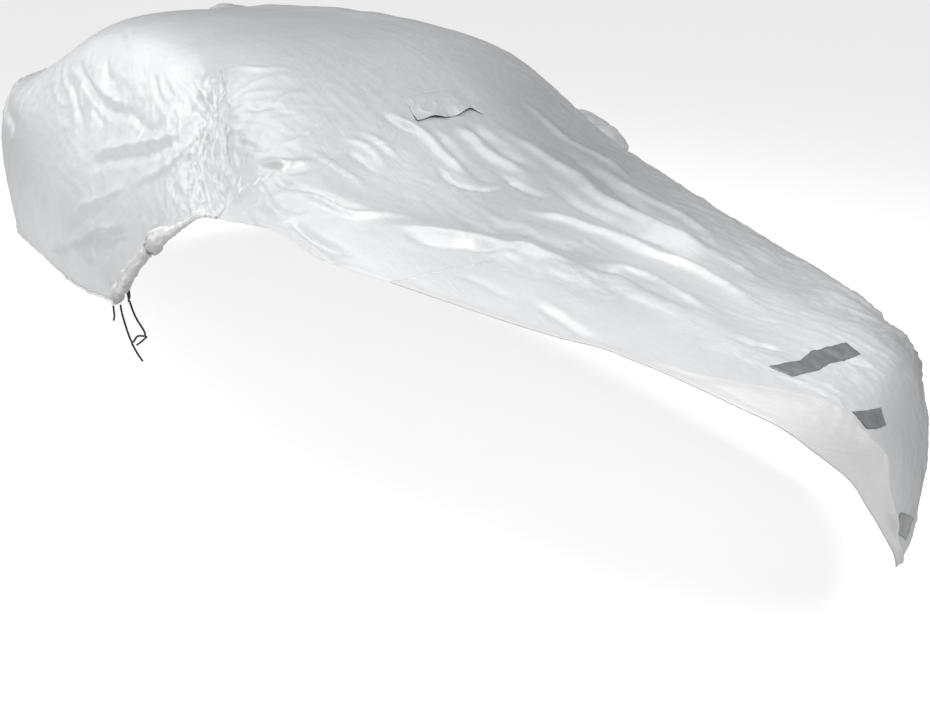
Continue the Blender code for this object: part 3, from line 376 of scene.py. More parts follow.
# Folds that the cloth lies in: half width and height in millimetres (a trough is negative), how sharp the
# crest is from 0 to 1, and the route on the cloth.
FOLD_COLUMNS = ("width", "height", "sharp", "route")
FOLDS = {
    # Pulled down the right side from the near pocket to the lifted hem.
    "side a": (22, 17, 0.6, ((3.77, -0.45), (3.55, -0.52), (3.05, -0.585), (2.76, -0.64))),
    "under side a": (28, -11, 0.1, ((3.78, -0.46), (3.58, -0.53), (3.12, -0.60), (2.73, -0.66))),
    "side b": (18, 11, 0.5, ((3.81, -0.475), (3.69, -0.54), (3.36, -0.625))),
    "side c": (24, 17, 0.6, ((3.32, -0.635), (3.06, -0.70), (2.75, -0.77))),
    "under side c": (38, -14, 0.0, ((3.21, -0.67), (2.91, -0.76), (2.67, -0.82))),
    "side d": (24, 23, 0.7, ((3.64, -0.675), (3.32, -0.72), (2.92, -0.805), (2.07, -0.96))),
    "under side d": (42, -20, 0.0, ((3.58, -0.70), (3.16, -0.77), (2.78, -0.845))),
    "side e": (22, 12, 0.5, ((3.32, -0.765), (3.19, -0.82), (2.87, -0.88))),
    "over side e": (26, -13, 0.0, ((2.84, -0.855), (3.15, -0.815), (3.31, -0.77))),
    "corner fan a": (14, 7, 0.7, ((3.30, -0.865), (3.16, -0.875), (2.98, -0.90))),
    "corner fan b": (12, -6, 0.4, ((3.31, -0.85), (3.20, -0.855), (3.04, -0.875))),
    # Hanging from the roof's edge over the rear quarter.
    "hang a": (24, -13, 0.2, ((2.09, -0.42), (2.43, -0.475), (2.74, -0.515), (2.99, -0.52),
                              (3.31, -0.52))),
    "hang a ridge": (22, 11, 0.4, ((2.25, -0.435), (2.54, -0.475), (2.79, -0.495), (3.14, -0.50))),
    "hang b": (18, -8, 0.2, ((2.32, -0.435), (2.59, -0.475), (2.81, -0.485), (2.95, -0.49))),
    "hang c": (20, -8, 0.2, ((2.18, -0.485), (2.46, -0.545), (2.60, -0.575))),
    "hang d": (18, -7, 0.2, ((2.61, -0.525), (2.86, -0.56))),
    "hang e": (18, -8, 0.3, ((2.57, -0.42), (2.73, -0.46), (2.83, -0.465))),
    "hang f": (18, -8, 0.2, ((2.94, -0.495), (3.24, -0.52), (3.57, -0.515))),
    "hang g": (15, -7, 0.3, ((3.20, -0.425), (3.33, -0.46), (3.49, -0.47))),
    "hang h": (14, -7, 0.3, ((3.26, -0.42), (3.38, -0.44), (3.64, -0.455))),
    "hang i": (14, -7, 0.3, ((3.39, -0.415), (3.60, -0.43))),
    "hang j": (13, -7, 0.3, ((3.59, -0.415), (3.79, -0.43))),
    "rail a": (16, -7, 0.3, ((2.09, -0.31), (2.67, -0.395))),
    "rail b": (15, -7, 0.3, ((2.55, -0.325), (2.85, -0.395))),
    "corner": (44, -12, 0.0, ((0.89, -0.53), (1.47, -0.615), (1.73, -0.64))),
    # Round the near top corner of the windscreen.
    "head b": (17, -9, 0.3, ((3.82, -0.38), (3.86, -0.35), (3.87, -0.305))),
    "head b ridge": (15, 8, 0.6, ((3.84, -0.39), (3.88, -0.355), (3.85, -0.31), (3.82, -0.235))),
    "head c": (9, 8, 0.8, ((4.02, -0.385), (4.03, -0.355), (4.00, -0.30), (3.96, -0.245), (3.93, -0.205))),
    "head d": (16, 8, 0.5, ((4.04, -0.43), (4.11, -0.40), (4.12, -0.33))),
    "edge a": (13, 8, 0.5, ((3.81, -0.43), (3.95, -0.475), (4.11, -0.53))),
    "edge b": (13, -8, 0.3, ((3.95, -0.43), (4.15, -0.52))),
    "edge c": (12, -6, 0.3, ((4.06, -0.445), (4.24, -0.505))),
    "edge d": (13, -6, 0.3, ((4.10, -0.445), (4.22, -0.465))),
    # Across the windscreen and down the bonnet.
    "long dark": (15, -14, 0.5, ((4.10, -0.44), (4.14, -0.43), (4.20, -0.425), (4.27, -0.405), (4.32, -0.385),
                                 (4.38, -0.37), (4.43, -0.33))),
    "long bright": (17, 16, 0.6, ((4.16, -0.44), (4.22, -0.425), (4.28, -0.41), (4.35, -0.395), (4.41, -0.38),
                                  (4.45, -0.33), (4.49, -0.26))),
    "scallop a": (16, 8, 0.5, ((4.05, -0.255), (4.09, -0.225), (4.16, -0.215), (4.23, -0.22))),
    "scallop b": (16, -6, 0.2, ((4.11, -0.27), (4.18, -0.26), (4.26, -0.25))),
    "scallop c": (16, 8, 0.5, ((4.03, -0.20), (4.11, -0.185), (4.19, -0.175))),
    "scallop d": (18, -8, 0.2, ((3.95, -0.135), (4.01, -0.12), (4.10, -0.09))),
    "cross a": (8, 5, 0.8, ((4.05, -0.33), (4.12, -0.325), (4.19, -0.31), (4.27, -0.30), (4.33, -0.305))),
    "cross b": (8, 5, 0.8, ((4.13, -0.275), (4.16, -0.315), (4.19, -0.35), (4.22, -0.375))),
    "bonnet edge ridge": (22, 17, 0.6, ((4.50, -0.345), (4.61, -0.26), (4.70, -0.19), (4.80, -0.145),
                                        (4.91, -0.10))),
    "bonnet edge trough": (18, -12, 0.1, ((4.55, -0.335), (4.61, -0.315), (4.68, -0.255), (4.76, -0.18))),
    "bulge": (18, -4, 0.1, ((4.78, -0.335), (4.86, -0.31), (4.92, -0.30), (4.96, -0.275))),
    "tuck": (18, -7, 0.3, ((4.98, -0.265), (5.09, -0.26), (5.15, -0.26), (5.23, -0.26))),
    "tuck ridge": (22, 3, 0.3, ((4.94, -0.245), (5.06, -0.24), (5.17, -0.235))),
    "screen a": (26, 15, 0.4, ((3.95, -0.125), (4.02, -0.095), (4.13, -0.075), (4.24, -0.07),
                               (4.38, -0.045))),
    "under screen a": (21, -12, 0.1, ((4.05, -0.06), (4.20, -0.045), (4.35, -0.045), (4.37, -0.005))),
    "screen b": (32, 19, 0.4, ((4.04, 0.015), (4.15, 0.03), (4.26, 0.04), (4.35, 0.065), (4.42, 0.07))),
    "under screen b": (27, -15, 0.1, ((4.03, 0.05), (4.15, 0.065), (4.25, 0.09), (4.37, 0.125))),
    "long a": (38, 22, 0.4, ((4.02, 0.11), (4.12, 0.13), (4.28, 0.175), (4.49, 0.185), (4.70, 0.20),
                             (4.84, 0.225), (4.98, 0.245), (5.08, 0.265), (5.25, 0.26))),
    "under long a": (32, -19, 0.1, ((4.35, 0.12), (4.58, 0.105), (4.71, 0.135), (4.84, 0.165), (4.98, 0.18),
                                    (5.14, 0.15))),
    "long b": (19, 12, 0.4, ((3.94, 0.235), (4.07, 0.27), (4.23, 0.29), (4.28, 0.315), (4.54, 0.325))),
    "long c": (24, 15, 0.4, ((4.33, 0.29), (4.56, 0.295), (4.72, 0.32), (4.85, 0.32), (4.95, 0.31))),
    "under long c": (29, -15, 0.1, ((4.18, 0.22), (4.42, 0.26), (4.63, 0.25), (4.84, 0.26), (4.96, 0.265))),
    "dart": (14, -8, 0.4, ((4.24, -0.11), (4.32, -0.12), (4.38, -0.105), (4.41, -0.065), (4.41, 0.015))),
    "centre": (30, 20, 0.5, ((4.45, -0.045), (4.54, -0.03), (4.68, 0.04), (4.78, 0.07), (4.87, 0.095),
                             (4.97, 0.125), (5.09, 0.15), (5.23, 0.14), (5.34, 0.135))),
    "over centre": (23, -12, 0.1, ((4.35, 0.015), (4.43, 0.025), (4.52, 0.065))),
    "bonnet a": (22, 15, 0.5, ((4.89, -0.075), (4.92, -0.035), (5.00, 0.015), (5.08, 0.015),
                               (5.26, 0.035))),
    "under bonnet a": (16, -8, 0.2, ((4.89, -0.095), (5.00, -0.035), (5.09, -0.025), (5.22, -0.01))),
    "bonnet b": (11, -6, 0.4, ((5.32, -0.04), (5.36, -0.025), (5.40, 0.0), (5.46, 0.05))),
    "bonnet c": (11, -5, 0.4, ((5.06, -0.04), (5.16, -0.04))),
    "bonnet d": (11, -5, 0.4, ((5.29, 0.085), (5.35, 0.12))),
    "thin a": (9, 3, 0.8, ((4.70, -0.17), (4.68, -0.11), (4.70, -0.045))),
    "thin b": (9, 3, 0.8, ((4.66, -0.01), (4.75, 0.005), (4.89, 0.005))),
    "thin c": (9, 3, 0.8, ((4.70, 0.0), (4.87, 0.01))),
    "nose a": (11, -6, 0.4, ((5.43, 0.08), (5.53, 0.125), (5.61, 0.20))),
    "nose b": (11, 6, 0.6, ((5.51, 0.195), (5.55, 0.225), (5.60, 0.245))),
    "nose dart": (9, 5, 0.7, ((5.55, 0.02), (5.63, 0.05))),
    "nose corner": (50, 18, 0.3, ((5.50, 0.42), (5.62, 0.41), (5.74, 0.42))),
    "nose left": (50, -12, 0.0, ((5.70, 0.62), (5.85, 0.55), (6.05, 0.50))),
    # The cloth turns down over the bonnet's edge, and hangs smooth below it.
    "apron": (80, 15, 0.2, ((4.46, -0.38), (4.54, -0.315), (4.67, -0.21), (4.89, -0.115), (5.00, -0.065),
                            (5.12, -0.035), (5.36, -0.025), (5.60, 0.005))),
    "facet": (50, -15, 0.0, ((4.56, -0.22), (4.66, -0.12), (4.80, -0.06), (4.88, -0.04))),
    "facet edge": (12, -6, 0.6, ((4.29, 0.0), (4.39, 0.015), (4.46, 0.02), (4.52, 0.015))),
    "arc": (10, -5, 0.6, ((4.21, -0.11), (4.38, -0.105), (4.42, -0.06), (4.41, 0.005))),
    "header": (14, 6, 0.6, ((3.63, -0.335), (3.65, -0.32), (3.68, -0.30), (3.69, -0.255), (3.71, -0.23))),
    "foot a": (17, 9, 0.5, ((4.05, -0.445), (4.12, -0.465), (4.20, -0.475), (4.28, -0.48), (4.40, -0.485))),
    "foot b": (14, 11, 0.5, ((4.16, -0.51), (4.24, -0.515), (4.32, -0.515), (4.39, -0.505))),
    "foot c": (14, 15, 0.6, ((4.33, -0.485), (4.43, -0.49), (4.53, -0.495), (4.63, -0.49), (4.66, -0.48))),
    "under foot c": (16, -17, 0.2, ((4.32, -0.475), (4.41, -0.48), (4.49, -0.475), (4.58, -0.46),
                                    (4.61, -0.45))),
    "foot b slit": (8, -8, 0.5, ((4.25, -0.505), (4.31, -0.51), (4.38, -0.505))),
    "foot d": (9, -6, 0.5, ((4.26, -0.465), (4.30, -0.455), (4.35, -0.445))),
    "edge foot": (17, 9, 0.5, ((4.04, -0.43), (4.08, -0.415), (4.12, -0.39), (4.13, -0.355))),
    "under edge foot": (11, -4, 0.3, ((4.08, -0.43), (4.12, -0.42), (4.16, -0.39), (4.15, -0.345))),
    # Out from the star of pleats at the near pocket.
    "pleat a": (8, 6, 0.7, ((3.86, -0.425), (3.90, -0.415), (3.93, -0.40))),
    "pleat b": (8, 6, 0.7, ((3.89, -0.43), (3.93, -0.42), (3.97, -0.41), (4.01, -0.395))),
    "pleat c": (8, -6, 0.6, ((3.93, -0.43), (3.97, -0.42), (4.01, -0.405))),
    "pleat d": (8, 6, 0.7, ((3.96, -0.435), (4.00, -0.425), (4.04, -0.405))),
    "pleat e": (11, 8, 0.6, ((3.96, -0.445), (4.01, -0.46), (4.07, -0.475), (4.13, -0.505))),
    "pleat f": (11, 8, 0.6, ((4.07, -0.465), (4.13, -0.48), (4.21, -0.49), (4.27, -0.495))),
    "pleat g": (9, 7, 0.7, ((4.12, -0.445), (4.16, -0.46), (4.20, -0.465), (4.24, -0.47))),
    "star a": (14, 7, 0.5, ((3.81, -0.44), (3.89, -0.47), (3.98, -0.505))),
    "star b": (10, -8, 0.5, ((3.85, -0.44), (3.93, -0.457), (3.99, -0.47), (4.05, -0.482))),
    "star c": (12, 6, 0.5, ((3.80, -0.455), (3.85, -0.485), (3.90, -0.52))),
    "pouch edge": (9, 5, 0.7, ((3.57, -0.415), (3.60, -0.375), (3.66, -0.357), (3.72, -0.377),
                               (3.76, -0.41))),
    "behind pouch": (12, -7, 0.5, ((3.58, -0.43), (3.66, -0.437), (3.74, -0.437), (3.79, -0.434))),
    # Broad swells: a bump near the roof's rear end, the roof's far half, and the far side of the bonnet.
    "roof bump": (110, 34, 0.3, ((1.80, -0.06), (2.00, -0.01), (2.30, 0.03))),
    "roof line": (160, 16, 0.0, ((2.00, 0.02), (2.60, 0.10), (3.40, 0.20))),
    "far bonnet": (150, -26, 0.0, ((4.85, 0.30), (5.15, 0.33), (5.45, 0.34), (5.70, 0.35))),
    # On the far side, pulled both ways from the far pocket.
    "pocket front": (40, 21, 0.5, ((3.98, 0.56), (4.30, 0.60), (4.75, 0.66))),
    "under pocket front": (42, -14, 0.0, ((4.05, 0.60), (4.35, 0.65), (4.80, 0.71))),
    "pocket rear": (40, 21, 0.5, ((3.80, 0.56), (3.45, 0.60), (2.95, 0.66))),
    "under pocket rear": (42, -14, 0.0, ((3.72, 0.60), (3.40, 0.65), (2.90, 0.71))),
    "left side": (50, 18, 0.4, ((3.80, 0.66), (3.30, 0.76), (2.70, 0.83))),
    "left wing": (55, -20, 0.1, ((4.20, 0.70), (4.60, 0.78), (5.00, 0.84))),
    "left wing ridge": (36, 15, 0.5, ((4.15, 0.66), (4.60, 0.73), (5.10, 0.80))),
    "left quarter": (45, -18, 0.1, ((2.15, 0.43), (2.50, 0.50), (2.95, 0.53))),
    "left quarter ridge": (28, 13, 0.5, ((2.05, 0.46), (2.40, 0.52), (2.85, 0.58))),
    "left corner": (60, -20, 0.0, ((0.80, 0.55), (1.30, 0.62), (1.75, 0.66))),
    # Down the rear.
    "rear middle": (60, -17, 0.1, ((0.10, -0.25), (0.45, -0.20), (0.70, -0.05))),
    "rear left": (60, 17, 0.4, ((0.10, 0.35), (0.40, 0.28), (0.65, 0.20))),
    "rear right": (50, 15, 0.4, ((0.12, -0.42), (0.42, -0.36), (0.72, -0.26))),
    "rear window a": (34, 13, 0.4, ((1.62, -0.30), (1.40, -0.18), (1.12, -0.10))),
    "rear window b": (30, -11, 0.2, ((1.60, 0.26), (1.36, 0.16), (1.10, 0.12))),
}
# How folds are laid: the step along the route in metres, the share that fades out at each end, and how far a
# fold reaches, in its own widths. How far it wanders off its route, in widths, and how uneven its height is,
# each with the size of the unevenness in metres, and how much steeper its near flank is.
FOLD_STEP, FOLD_END, FOLD_REACH = 0.012, 0.30, 3.2
WANDER, WANDER_SIZE = 0.315, 0.11
UNEVEN, UNEVEN_SIZE = 0.35, 0.11
SKEW = 0.22

# Where the cloth is gathered to a point and pleats run out from it: how far, how high, how many, and which
# seed for their unevenness. They begin a little way out, and their crests are rather sharp.
PULL_COLUMNS = ("along", "across", "reach", "height", "pleats", "seed")
PULLS = {
    "near pocket": (3.81, -0.435, 0.30, 0.0046, 26, 3),
    "knot in the hem": (3.73, -0.70, 0.16, 0.0060, 22, 5),
    "lowest corner": (3.36, -0.88, 0.22, 0.0055, 26, 7),
    "far pocket": (3.89, 0.54, 0.42, 0.0060, 24, 9),
    "end of bonnet edge": (4.93, -0.095, 0.16, 0.0030, 18, 11),
    "nose corner": (5.60, 0.43, 0.35, 0.0060, 22, 13),
    "rear right corner": (0.86, -0.50, 0.40, 0.0060, 22, 15),
    "rear left corner": (0.86, 0.50, 0.40, 0.0060, 22, 17),
}
PULL_START, PULL_SHARP = 0.05, 0.6

# Uneven creases over the whole cloth: length and spacing in metres, turn from the middle line in degrees on
# the right half, height in metres, how sharp, and the share of the height on the top and on the sides.
CREASE_COLUMNS = ("length", "spacing", "turn", "height", "sharp", "top", "sides", "seed")
CREASES = {
    "broad": (0.55, 0.16, 12, 0.0050, 0.0, 1.0, 0.6, 21),
    "long": (0.34, 0.075, 14, 0.0034, 0.6, 1.0, 0.5, 23),
    "middle": (0.17, 0.045, 17, 0.0032, 0.9, 1.0, 0.5, 25),
    "crossed": (0.11, 0.040, -50, 0.0028, 0.95, 1.0, 0.8, 27),
    "short": (0.07, 0.026, 20, 0.0022, 0.95, 1.0, 0.8, 29),
    "hanging broad": (0.42, 0.12, -11, 0.0070, 0.3, 0.0, 1.0, 31),
    "hanging": (0.26, 0.060, -14, 0.0065, 0.8, 0.0, 1.0, 33),
    "hanging fine": (0.13, 0.032, -8, 0.0035, 0.9, 0.0, 1.0, 35),
}
# How crumpled the middle of the cloth is, as (along, share).
CRUMPLED = ((0.0, 1.0), (0.9, 0.9), (1.5, 0.4), (2.2, 0.2), (3.3, 0.2), (3.8, 0.35), (4.3, 0.45), (5.2, 0.6),
            (6.15, 0.8))
# Where, across, the creases of the top give way to those of the sides, and where the sides are pulled smooth
# and lose a share of them.
SIDE_START, SIDE_FULL = 0.36, 0.48
PULLED_START, PULLED_FULL, PULLED_SHARE = 0.50, 0.64, 0.72
# The band along the bonnet's right hem hangs smooth, as (along, width), and loses a share of its creases.
SMOOTH_BAND = ((4.1, 0.05), (4.5, 0.15), (4.9, 0.30), (5.2, 0.30), (5.6, 0.16))
SMOOTH_SHARE = 0.8

# Painted light and shade in the cloth's colour: patches as (along, metres from the middle line, reach along,
# reach across, level from -1, painted shade, to 1, painted light), and the band of painted light along the
# bonnet's right hem, as (along, width, level).
HALF_GIRTH = 1.33
PAINTED_LIGHT_AND_SHADE = {
    "far corner of the nose": (5.95, 0.62, 0.42, 0.42, -1.0),
    "far side of the windscreen": (4.20, 0.45, 0.60, 0.25, -0.55),
    "near foot of the windscreen": (4.28, -0.32, 0.25, 0.20, 0.35),
    "front of the bonnet": (5.40, 0.30, 0.25, 0.30, 0.3),
    "top of the bonnet": (5.20, 0.15, 0.55, 0.25, 0.35),
    "near rear corner": (1.2, -1.2, 0.9, 0.5, -0.3),
    "near side under the roof": (3.3, -0.80, 1.1, 0.45, 0.30),
}
PAINTED_LIGHT_BAND = ((4.10, 0.06, 0.0), (4.35, 0.14, 0.4), (4.60, 0.24, 0.72), (4.90, 0.30, 0.8), (5.20, 0.28, 0.8),
             (5.60, 0.22, 0.48), (6.15, 0.12, 0.16))

# Each panel runs on under its neighbour at a seam, and the seams pucker. The hem is doubled over and gathered
# a little by the elastic in it, most at the front and rear.
SEAM_LAP, SEAM_DROP, EDGE_GAP = 0.008, 0.0008, 0.0008
PUCKER_SPACING, PUCKER_REACH, PUCKER_HEIGHT = 0.034, 0.040, 0.0014
NO_SEAM = 9.0  # metres, out of reach of any puckers
HEM_WIDTH, HEM_RISE = 0.022, 0.0012
HEM_GATHER, HEM_GATHER_SPACING, HEM_GATHER_REACH, SIDE_GATHER = 0.0035, 0.055, 0.07, 0.2


def read_line(table, at):
    """Straight-line reading of a short two-column table."""
    places, values = zip(*table)
    return np.interp(at, places, values)


def rise(value, start, full):
    """From 0 at the start to 1 at the full, in a straight line."""
    return np.clip((value - start) / (full - start), 0, 1)


def noise(x, y, seed):
    """Smooth unevenness from -1 to 1, with one bump or hollow in about each unit."""
    angles = np.random.default_rng(seed).random((64, 64)) * 2 * math.pi
    column, row = np.floor(x).astype(int), np.floor(y).astype(int)
    x, y = x - column, y - row
    total = 0.0
    for i in (0, 1):
        for j in (0, 1):
            angle = angles[(column + i) % 64, (row + j) % 64]
            weight_x = 3 * x * x - 2 * x ** 3 if i else 1 - 3 * x * x + 2 * x ** 3
            weight_y = 3 * y * y - 2 * y ** 3 if j else 1 - 3 * y * y + 2 * y ** 3
            total = total + weight_x * weight_y * (np.cos(angle) * (x - i) + np.sin(angle) * (y - j))
    return 1.5 * total


def crest(wave, sharp):
    """Turn a smooth wave from -1 to 1 into one with sharper tops."""
    return (1 - sharp) * wave + sharp * (2 * np.clip(1 - np.abs(wave), 0, 1) ** 4 - 0.8)


def fold_profile(distance, sharp):
    """A fold's height as a share of its crest's, at a distance in widths: a soft swell or a keen crest."""
    soft = (1 - 0.5 * distance ** 2) * np.exp(-distance ** 2)
    keen = np.exp(-1.7 * (np.sqrt(distance ** 2 + 0.02) - 0.14))
    return (1 - sharp) * soft + sharp * keen


class Drape:
    """The smooth shape that the cloth hangs in, and the folds in it."""

    def __init__(self):
        ribs = []
        for row in SECTIONS.values():
            section = dict(zip(SECTION_COLUMNS, row))
            across = ("crown", "edge", "shoulder", "side", "low")
            x = np.array([0.0] + [section[place + "_x"] for place in across])
            z = np.array([section["top"]] + [section[place + "_z"] for place in across])
            y = section["length"] + section["sweep"] * (x / x[-1]) ** SWEEP_POWER
            left = np.stack([x, y, z], axis=1)
            ribs.append(np.concatenate([left[:0:-1] * (-1, 1, 1), left]))
        self.ribs = np.array(ribs) - ORIGIN
        self.middle = self.ribs.shape[1] // 2
        steps = np.linalg.norm(np.diff(self.ribs[:, self.middle], axis=0), axis=1)
        self.stations = np.concatenate([[0.0], np.cumsum(steps)])
        self.folds = [self.lay_fold(**dict(zip(FOLD_COLUMNS, row))) for row in FOLDS.values()]
        self.pulls = [dict(zip(PULL_COLUMNS, row)) for row in PULLS.values()]
        self.creases = [dict(zip(CREASE_COLUMNS, row)) for row in CREASES.values()]

    def row(self, along, across):
        """Points at one place along and many places across, and the half girth there."""
        rib = smooth(self.stations, self.ribs, [along])[0]
        reach = np.concatenate([[0.0], np.cumsum(np.linalg.norm(np.diff(rib, axis=0), axis=1))])
        reach -= reach[self.middle]
        return smooth(reach / reach[-1], rib, across), reach[-1]

    def lay_fold(self, width, height, sharp, route):
        corners = np.array([self.row(along, [across])[0][0] for along, across in route])
        line = curve_through(corners, FOLD_STEP)
        share = np.linspace(0, 1, len(line))
        fade = np.clip(np.minimum(share, 1 - share) / FOLD_END, 0, 1)
        return line, width / 1000, height / 1000 * fade * fade * (3 - 2 * fade), sharp

    def fold_relief(self, points, places):
        """Height of the named folds at points on the smooth shape and their places in metres."""
        total = np.zeros(len(points))
        for line, width, height, sharp in self.folds:
            reach = FOLD_REACH * width
            near = np.all((points > line.min(0) - reach) & (points < line.max(0) + reach), axis=1)
            if not near.any():
                continue
            wander = WANDER * width * noise(*(places[near] / WANDER_SIZE).T, 61)
            spots = points[near] + wander[:, None]
            away = np.linalg.norm(spots[:, None] - line[None], axis=2)
            closest, distance = away.argmin(axis=1), away.min(axis=1) / width
            near_flank = np.tanh((line[closest, 0] - spots[:, 0]) / width * 3)
            uneven = 1 + UNEVEN * noise(closest * FOLD_STEP / UNEVEN_SIZE, 0.5, 63)
            total[near] += height[closest] * uneven * fold_profile(distance * (1 + SKEW * near_flank), sharp)
        return total

    def pull_relief(self, along, metres, girth):
        """Height of the pleats that run out from the points where the cloth is gathered."""
        total = np.zeros(along.shape)
        for pull in self.pulls:
            ahead, aside = along - pull["along"], metres - pull["across"] * girth
            reach = np.hypot(ahead, aside)
            turn = np.arctan2(aside, ahead) / (2 * math.pi) * pull["pleats"]
            wave = noise(turn, 1.3 * np.log(reach + 0.03), pull["seed"])
            pleats = crest(wave, PULL_SHARP) * np.clip(reach / PULL_START, 0, 1)
            total += pull["height"] * pleats * np.exp(-(reach / pull["reach"]) ** 2)
        return total

    def crease_relief(self, along, across, metres, smooth_band):
        """Height of the uneven creases. Those that hang down the left side slant the other way."""
        on_side = rise(np.abs(across), SIDE_START, SIDE_FULL)
        hanging = 1 - PULLED_SHARE * rise(np.abs(across), PULLED_START, PULLED_FULL)
        crumpled = read_line(CRUMPLED, along)
        crumpled = (crumpled + on_side * (1 - crumpled)) * (1 - SMOOTH_SHARE * smooth_band)
        total = np.zeros(along.shape)
        for crease in self.creases:
            length, seed = crease["length"], crease["seed"]
            hand = np.where((metres > 0) & (crease["sides"] > 0.9), -1.0, 1.0)
            turn = math.radians(crease["turn"]) * hand
            run = along * np.cos(turn) + metres * np.sin(turn)
            span = metres * np.cos(turn) - along * np.sin(turn)
            drift = 0.6 * noise(run / length * 0.7, span / length, seed + 40)
            wave = noise(run / length, span / crease["spacing"] + drift, seed)
            patch = np.clip(0.55 + 0.6 * noise(along / 0.6, metres / 0.35, seed + 60), 0.1, 1.3)
            share = crease["top"] * (1 - on_side) + crease["sides"] * on_side * hanging
            total += crease["height"] * share * crest(wave, crease["sharp"]) * crumpled * patch
        return total

    def seam_relief(self, along, metres, girth):
        """Height of the puckers. The cross seam puckers only where it is pulled, on the right half."""
        right = metres - read_line(RIGHT_SEAM, along) * girth + NO_SEAM * (along > RIGHT_SIDE_END)
        left = metres - read_line(LEFT_SEAM, along) * girth
        pulled = np.clip(-metres / 0.3, 0.15, 1.0)
        total = np.zeros(along.shape)
        for run, away, share, seed in ((along, right, 1.0, 80), (along, left, 1.0, 81),
                                       (metres, along - CROSS_SEAM, pulled, 82)):
            wave = noise(run / PUCKER_SPACING, away / 0.25, seed)
            total += PUCKER_HEIGHT * share * crest(wave, 0.5) * np.exp(-np.abs(away) / PUCKER_REACH)
        return total

    def hem_relief(self, along, metres, girth, from_hem, smooth_band):
        """Height of the doubled hem and its gathers."""
        ends, sides = np.minimum(along, FRONT_HEM - along), np.minimum(from_hem, girth - metres)
        inside = np.minimum(ends, sides)
        at_end = ends < sides
        wave = noise(np.where(at_end, metres, along) / HEM_GATHER_SPACING, inside / 0.2, 83)
        gather = HEM_GATHER * np.where(at_end, 1.0, SIDE_GATHER) * (1 - smooth_band)
        return (HEM_RISE * np.clip(1.5 - inside / HEM_WIDTH, 0, 1)
                + gather * crest(wave, 0.4) * np.exp(-inside / HEM_GATHER_REACH))

    def relief(self, points, along, across, girth):
        """Height of everything that folds, pleats and creases the cloth, on a grid of places."""
        metres = across * girth
        from_hem = metres - read_line(RIGHT_HEM, along) * girth
        band = read_line(SMOOTH_BAND, along)
        smooth_band = (along > SMOOTH_BAND[0][0]) * np.exp(-(np.maximum(from_hem, 0) / band) ** 4)
        folds = self.fold_relief(points.reshape(-1, 3), np.stack([along, metres], axis=2).reshape(-1, 2))
        return (folds.reshape(along.shape) + self.pull_relief(along, metres, girth)
                + self.crease_relief(along, across, metres, smooth_band)
                + self.seam_relief(along, metres, girth)
                + self.hem_relief(along, metres, girth, from_hem, smooth_band))


drape = Drape()


def places_at(alongs, metres):
    """Places on the cloth in metres, for a grid with one row at each place along."""
    return np.stack([np.broadcast_to(alongs[:, None], metres.shape), metres], axis=2)


class Sheet:
    """A grid of points on the folded cloth, with their outward directions and places in metres."""

    def __init__(self, alongs, columns):
        self.alongs = alongs
        self.across = np.array([columns(along) for along in alongs])
        rows = [drape.row(along, across) for along, across in zip(alongs, self.across)]
        self.girth = np.array([girth for points, girth in rows])
        base = np.array([points for points, girth in rows])
        along = np.broadcast_to(alongs[:, None], self.across.shape)
        self.metres = self.across * self.girth[:, None]
        self.places = places_at(alongs, self.metres)
        height = drape.relief(base, along, self.across, self.girth[:, None])
        self.points = base + height[:, :, None] * self.directions(base)
        self.outs = self.directions(self.points)

    @staticmethod
    def directions(points):
        return unit(np.cross(np.gradient(points, axis=0), np.gradient(points, axis=1)))

    def raise_by(self, height):
        """Move the grid outwards by a height for each point."""
        self.points = self.points + height[:, :, None] * self.outs

    def at(self, along, across):
        """Points, outward directions and places at any place inside the grid."""
        row = np.clip(np.searchsorted(self.alongs, along) - 1, 0, len(self.alongs) - 2)
        share = (along - self.alongs[row]) / (self.alongs[row + 1] - self.alongs[row])
        values = []
        for near in (row, row + 1):
            line = self.across[near]
            column = np.clip(np.searchsorted(line, across) - 1, 0, len(line) - 2)
            part = (across - line[column]) / (line[column + 1] - line[column])
            both = np.concatenate([self.points[near], self.outs[near], self.places[near]], axis=1)
            values.append(both[column] * (1 - part) + both[column + 1] * part)
        value = values[0] * (1 - share) + values[1] * share
        return value[:3], unit(value[3:6]), value[6:]


def tuck(sheet, away):
    """Lower the part of a sheet that lies under its neighbour: away is 0 at the seam, negative under it."""
    sheet.raise_by(-SEAM_DROP * np.clip(0.5 - away / SEAM_LAP, 0, 1))


def with_edges(values):
    """The values with one more just inside each end, so that the cloth's edges are crisp."""
    first, last = values[:1], values[-1:]
    return np.concatenate([first, first + EDGE_GAP, values[1:-1], last - EDGE_GAP, last])


def painted_light_at(places):
    """How much painted light (above 0) or painted shade (below 0) the cloth's colour has at its places."""
    along, metres = places[..., 0], places[..., 1]
    painted_light = np.zeros(along.shape)
    for middle_along, middle_metres, reach_along, reach_metres, level in PAINTED_LIGHT_AND_SHADE.values():
        away = ((along - middle_along) / reach_along) ** 2 + ((metres - middle_metres) / reach_metres) ** 2
        painted_light += level * np.exp(-away ** 1.5)
    # A band of painted light along the right hem.
    from_hem = metres - read_line(RIGHT_HEM, along) * HALF_GIRTH
    band_along, *band = zip(*PAINTED_LIGHT_BAND)
    width, level = (np.interp(along, band_along, values) for values in band)
    return painted_light + level * np.exp(-(np.maximum(from_hem, 0) / width) ** 3)


def thicken(piece, thickness, offset):
    """Give a sheet its thickness: all inwards at an offset of -1, half to each side at 0."""
    solid = piece.modifiers.new("thickness", "SOLIDIFY")
    solid.thickness, solid.offset = thickness, offset
    return solid


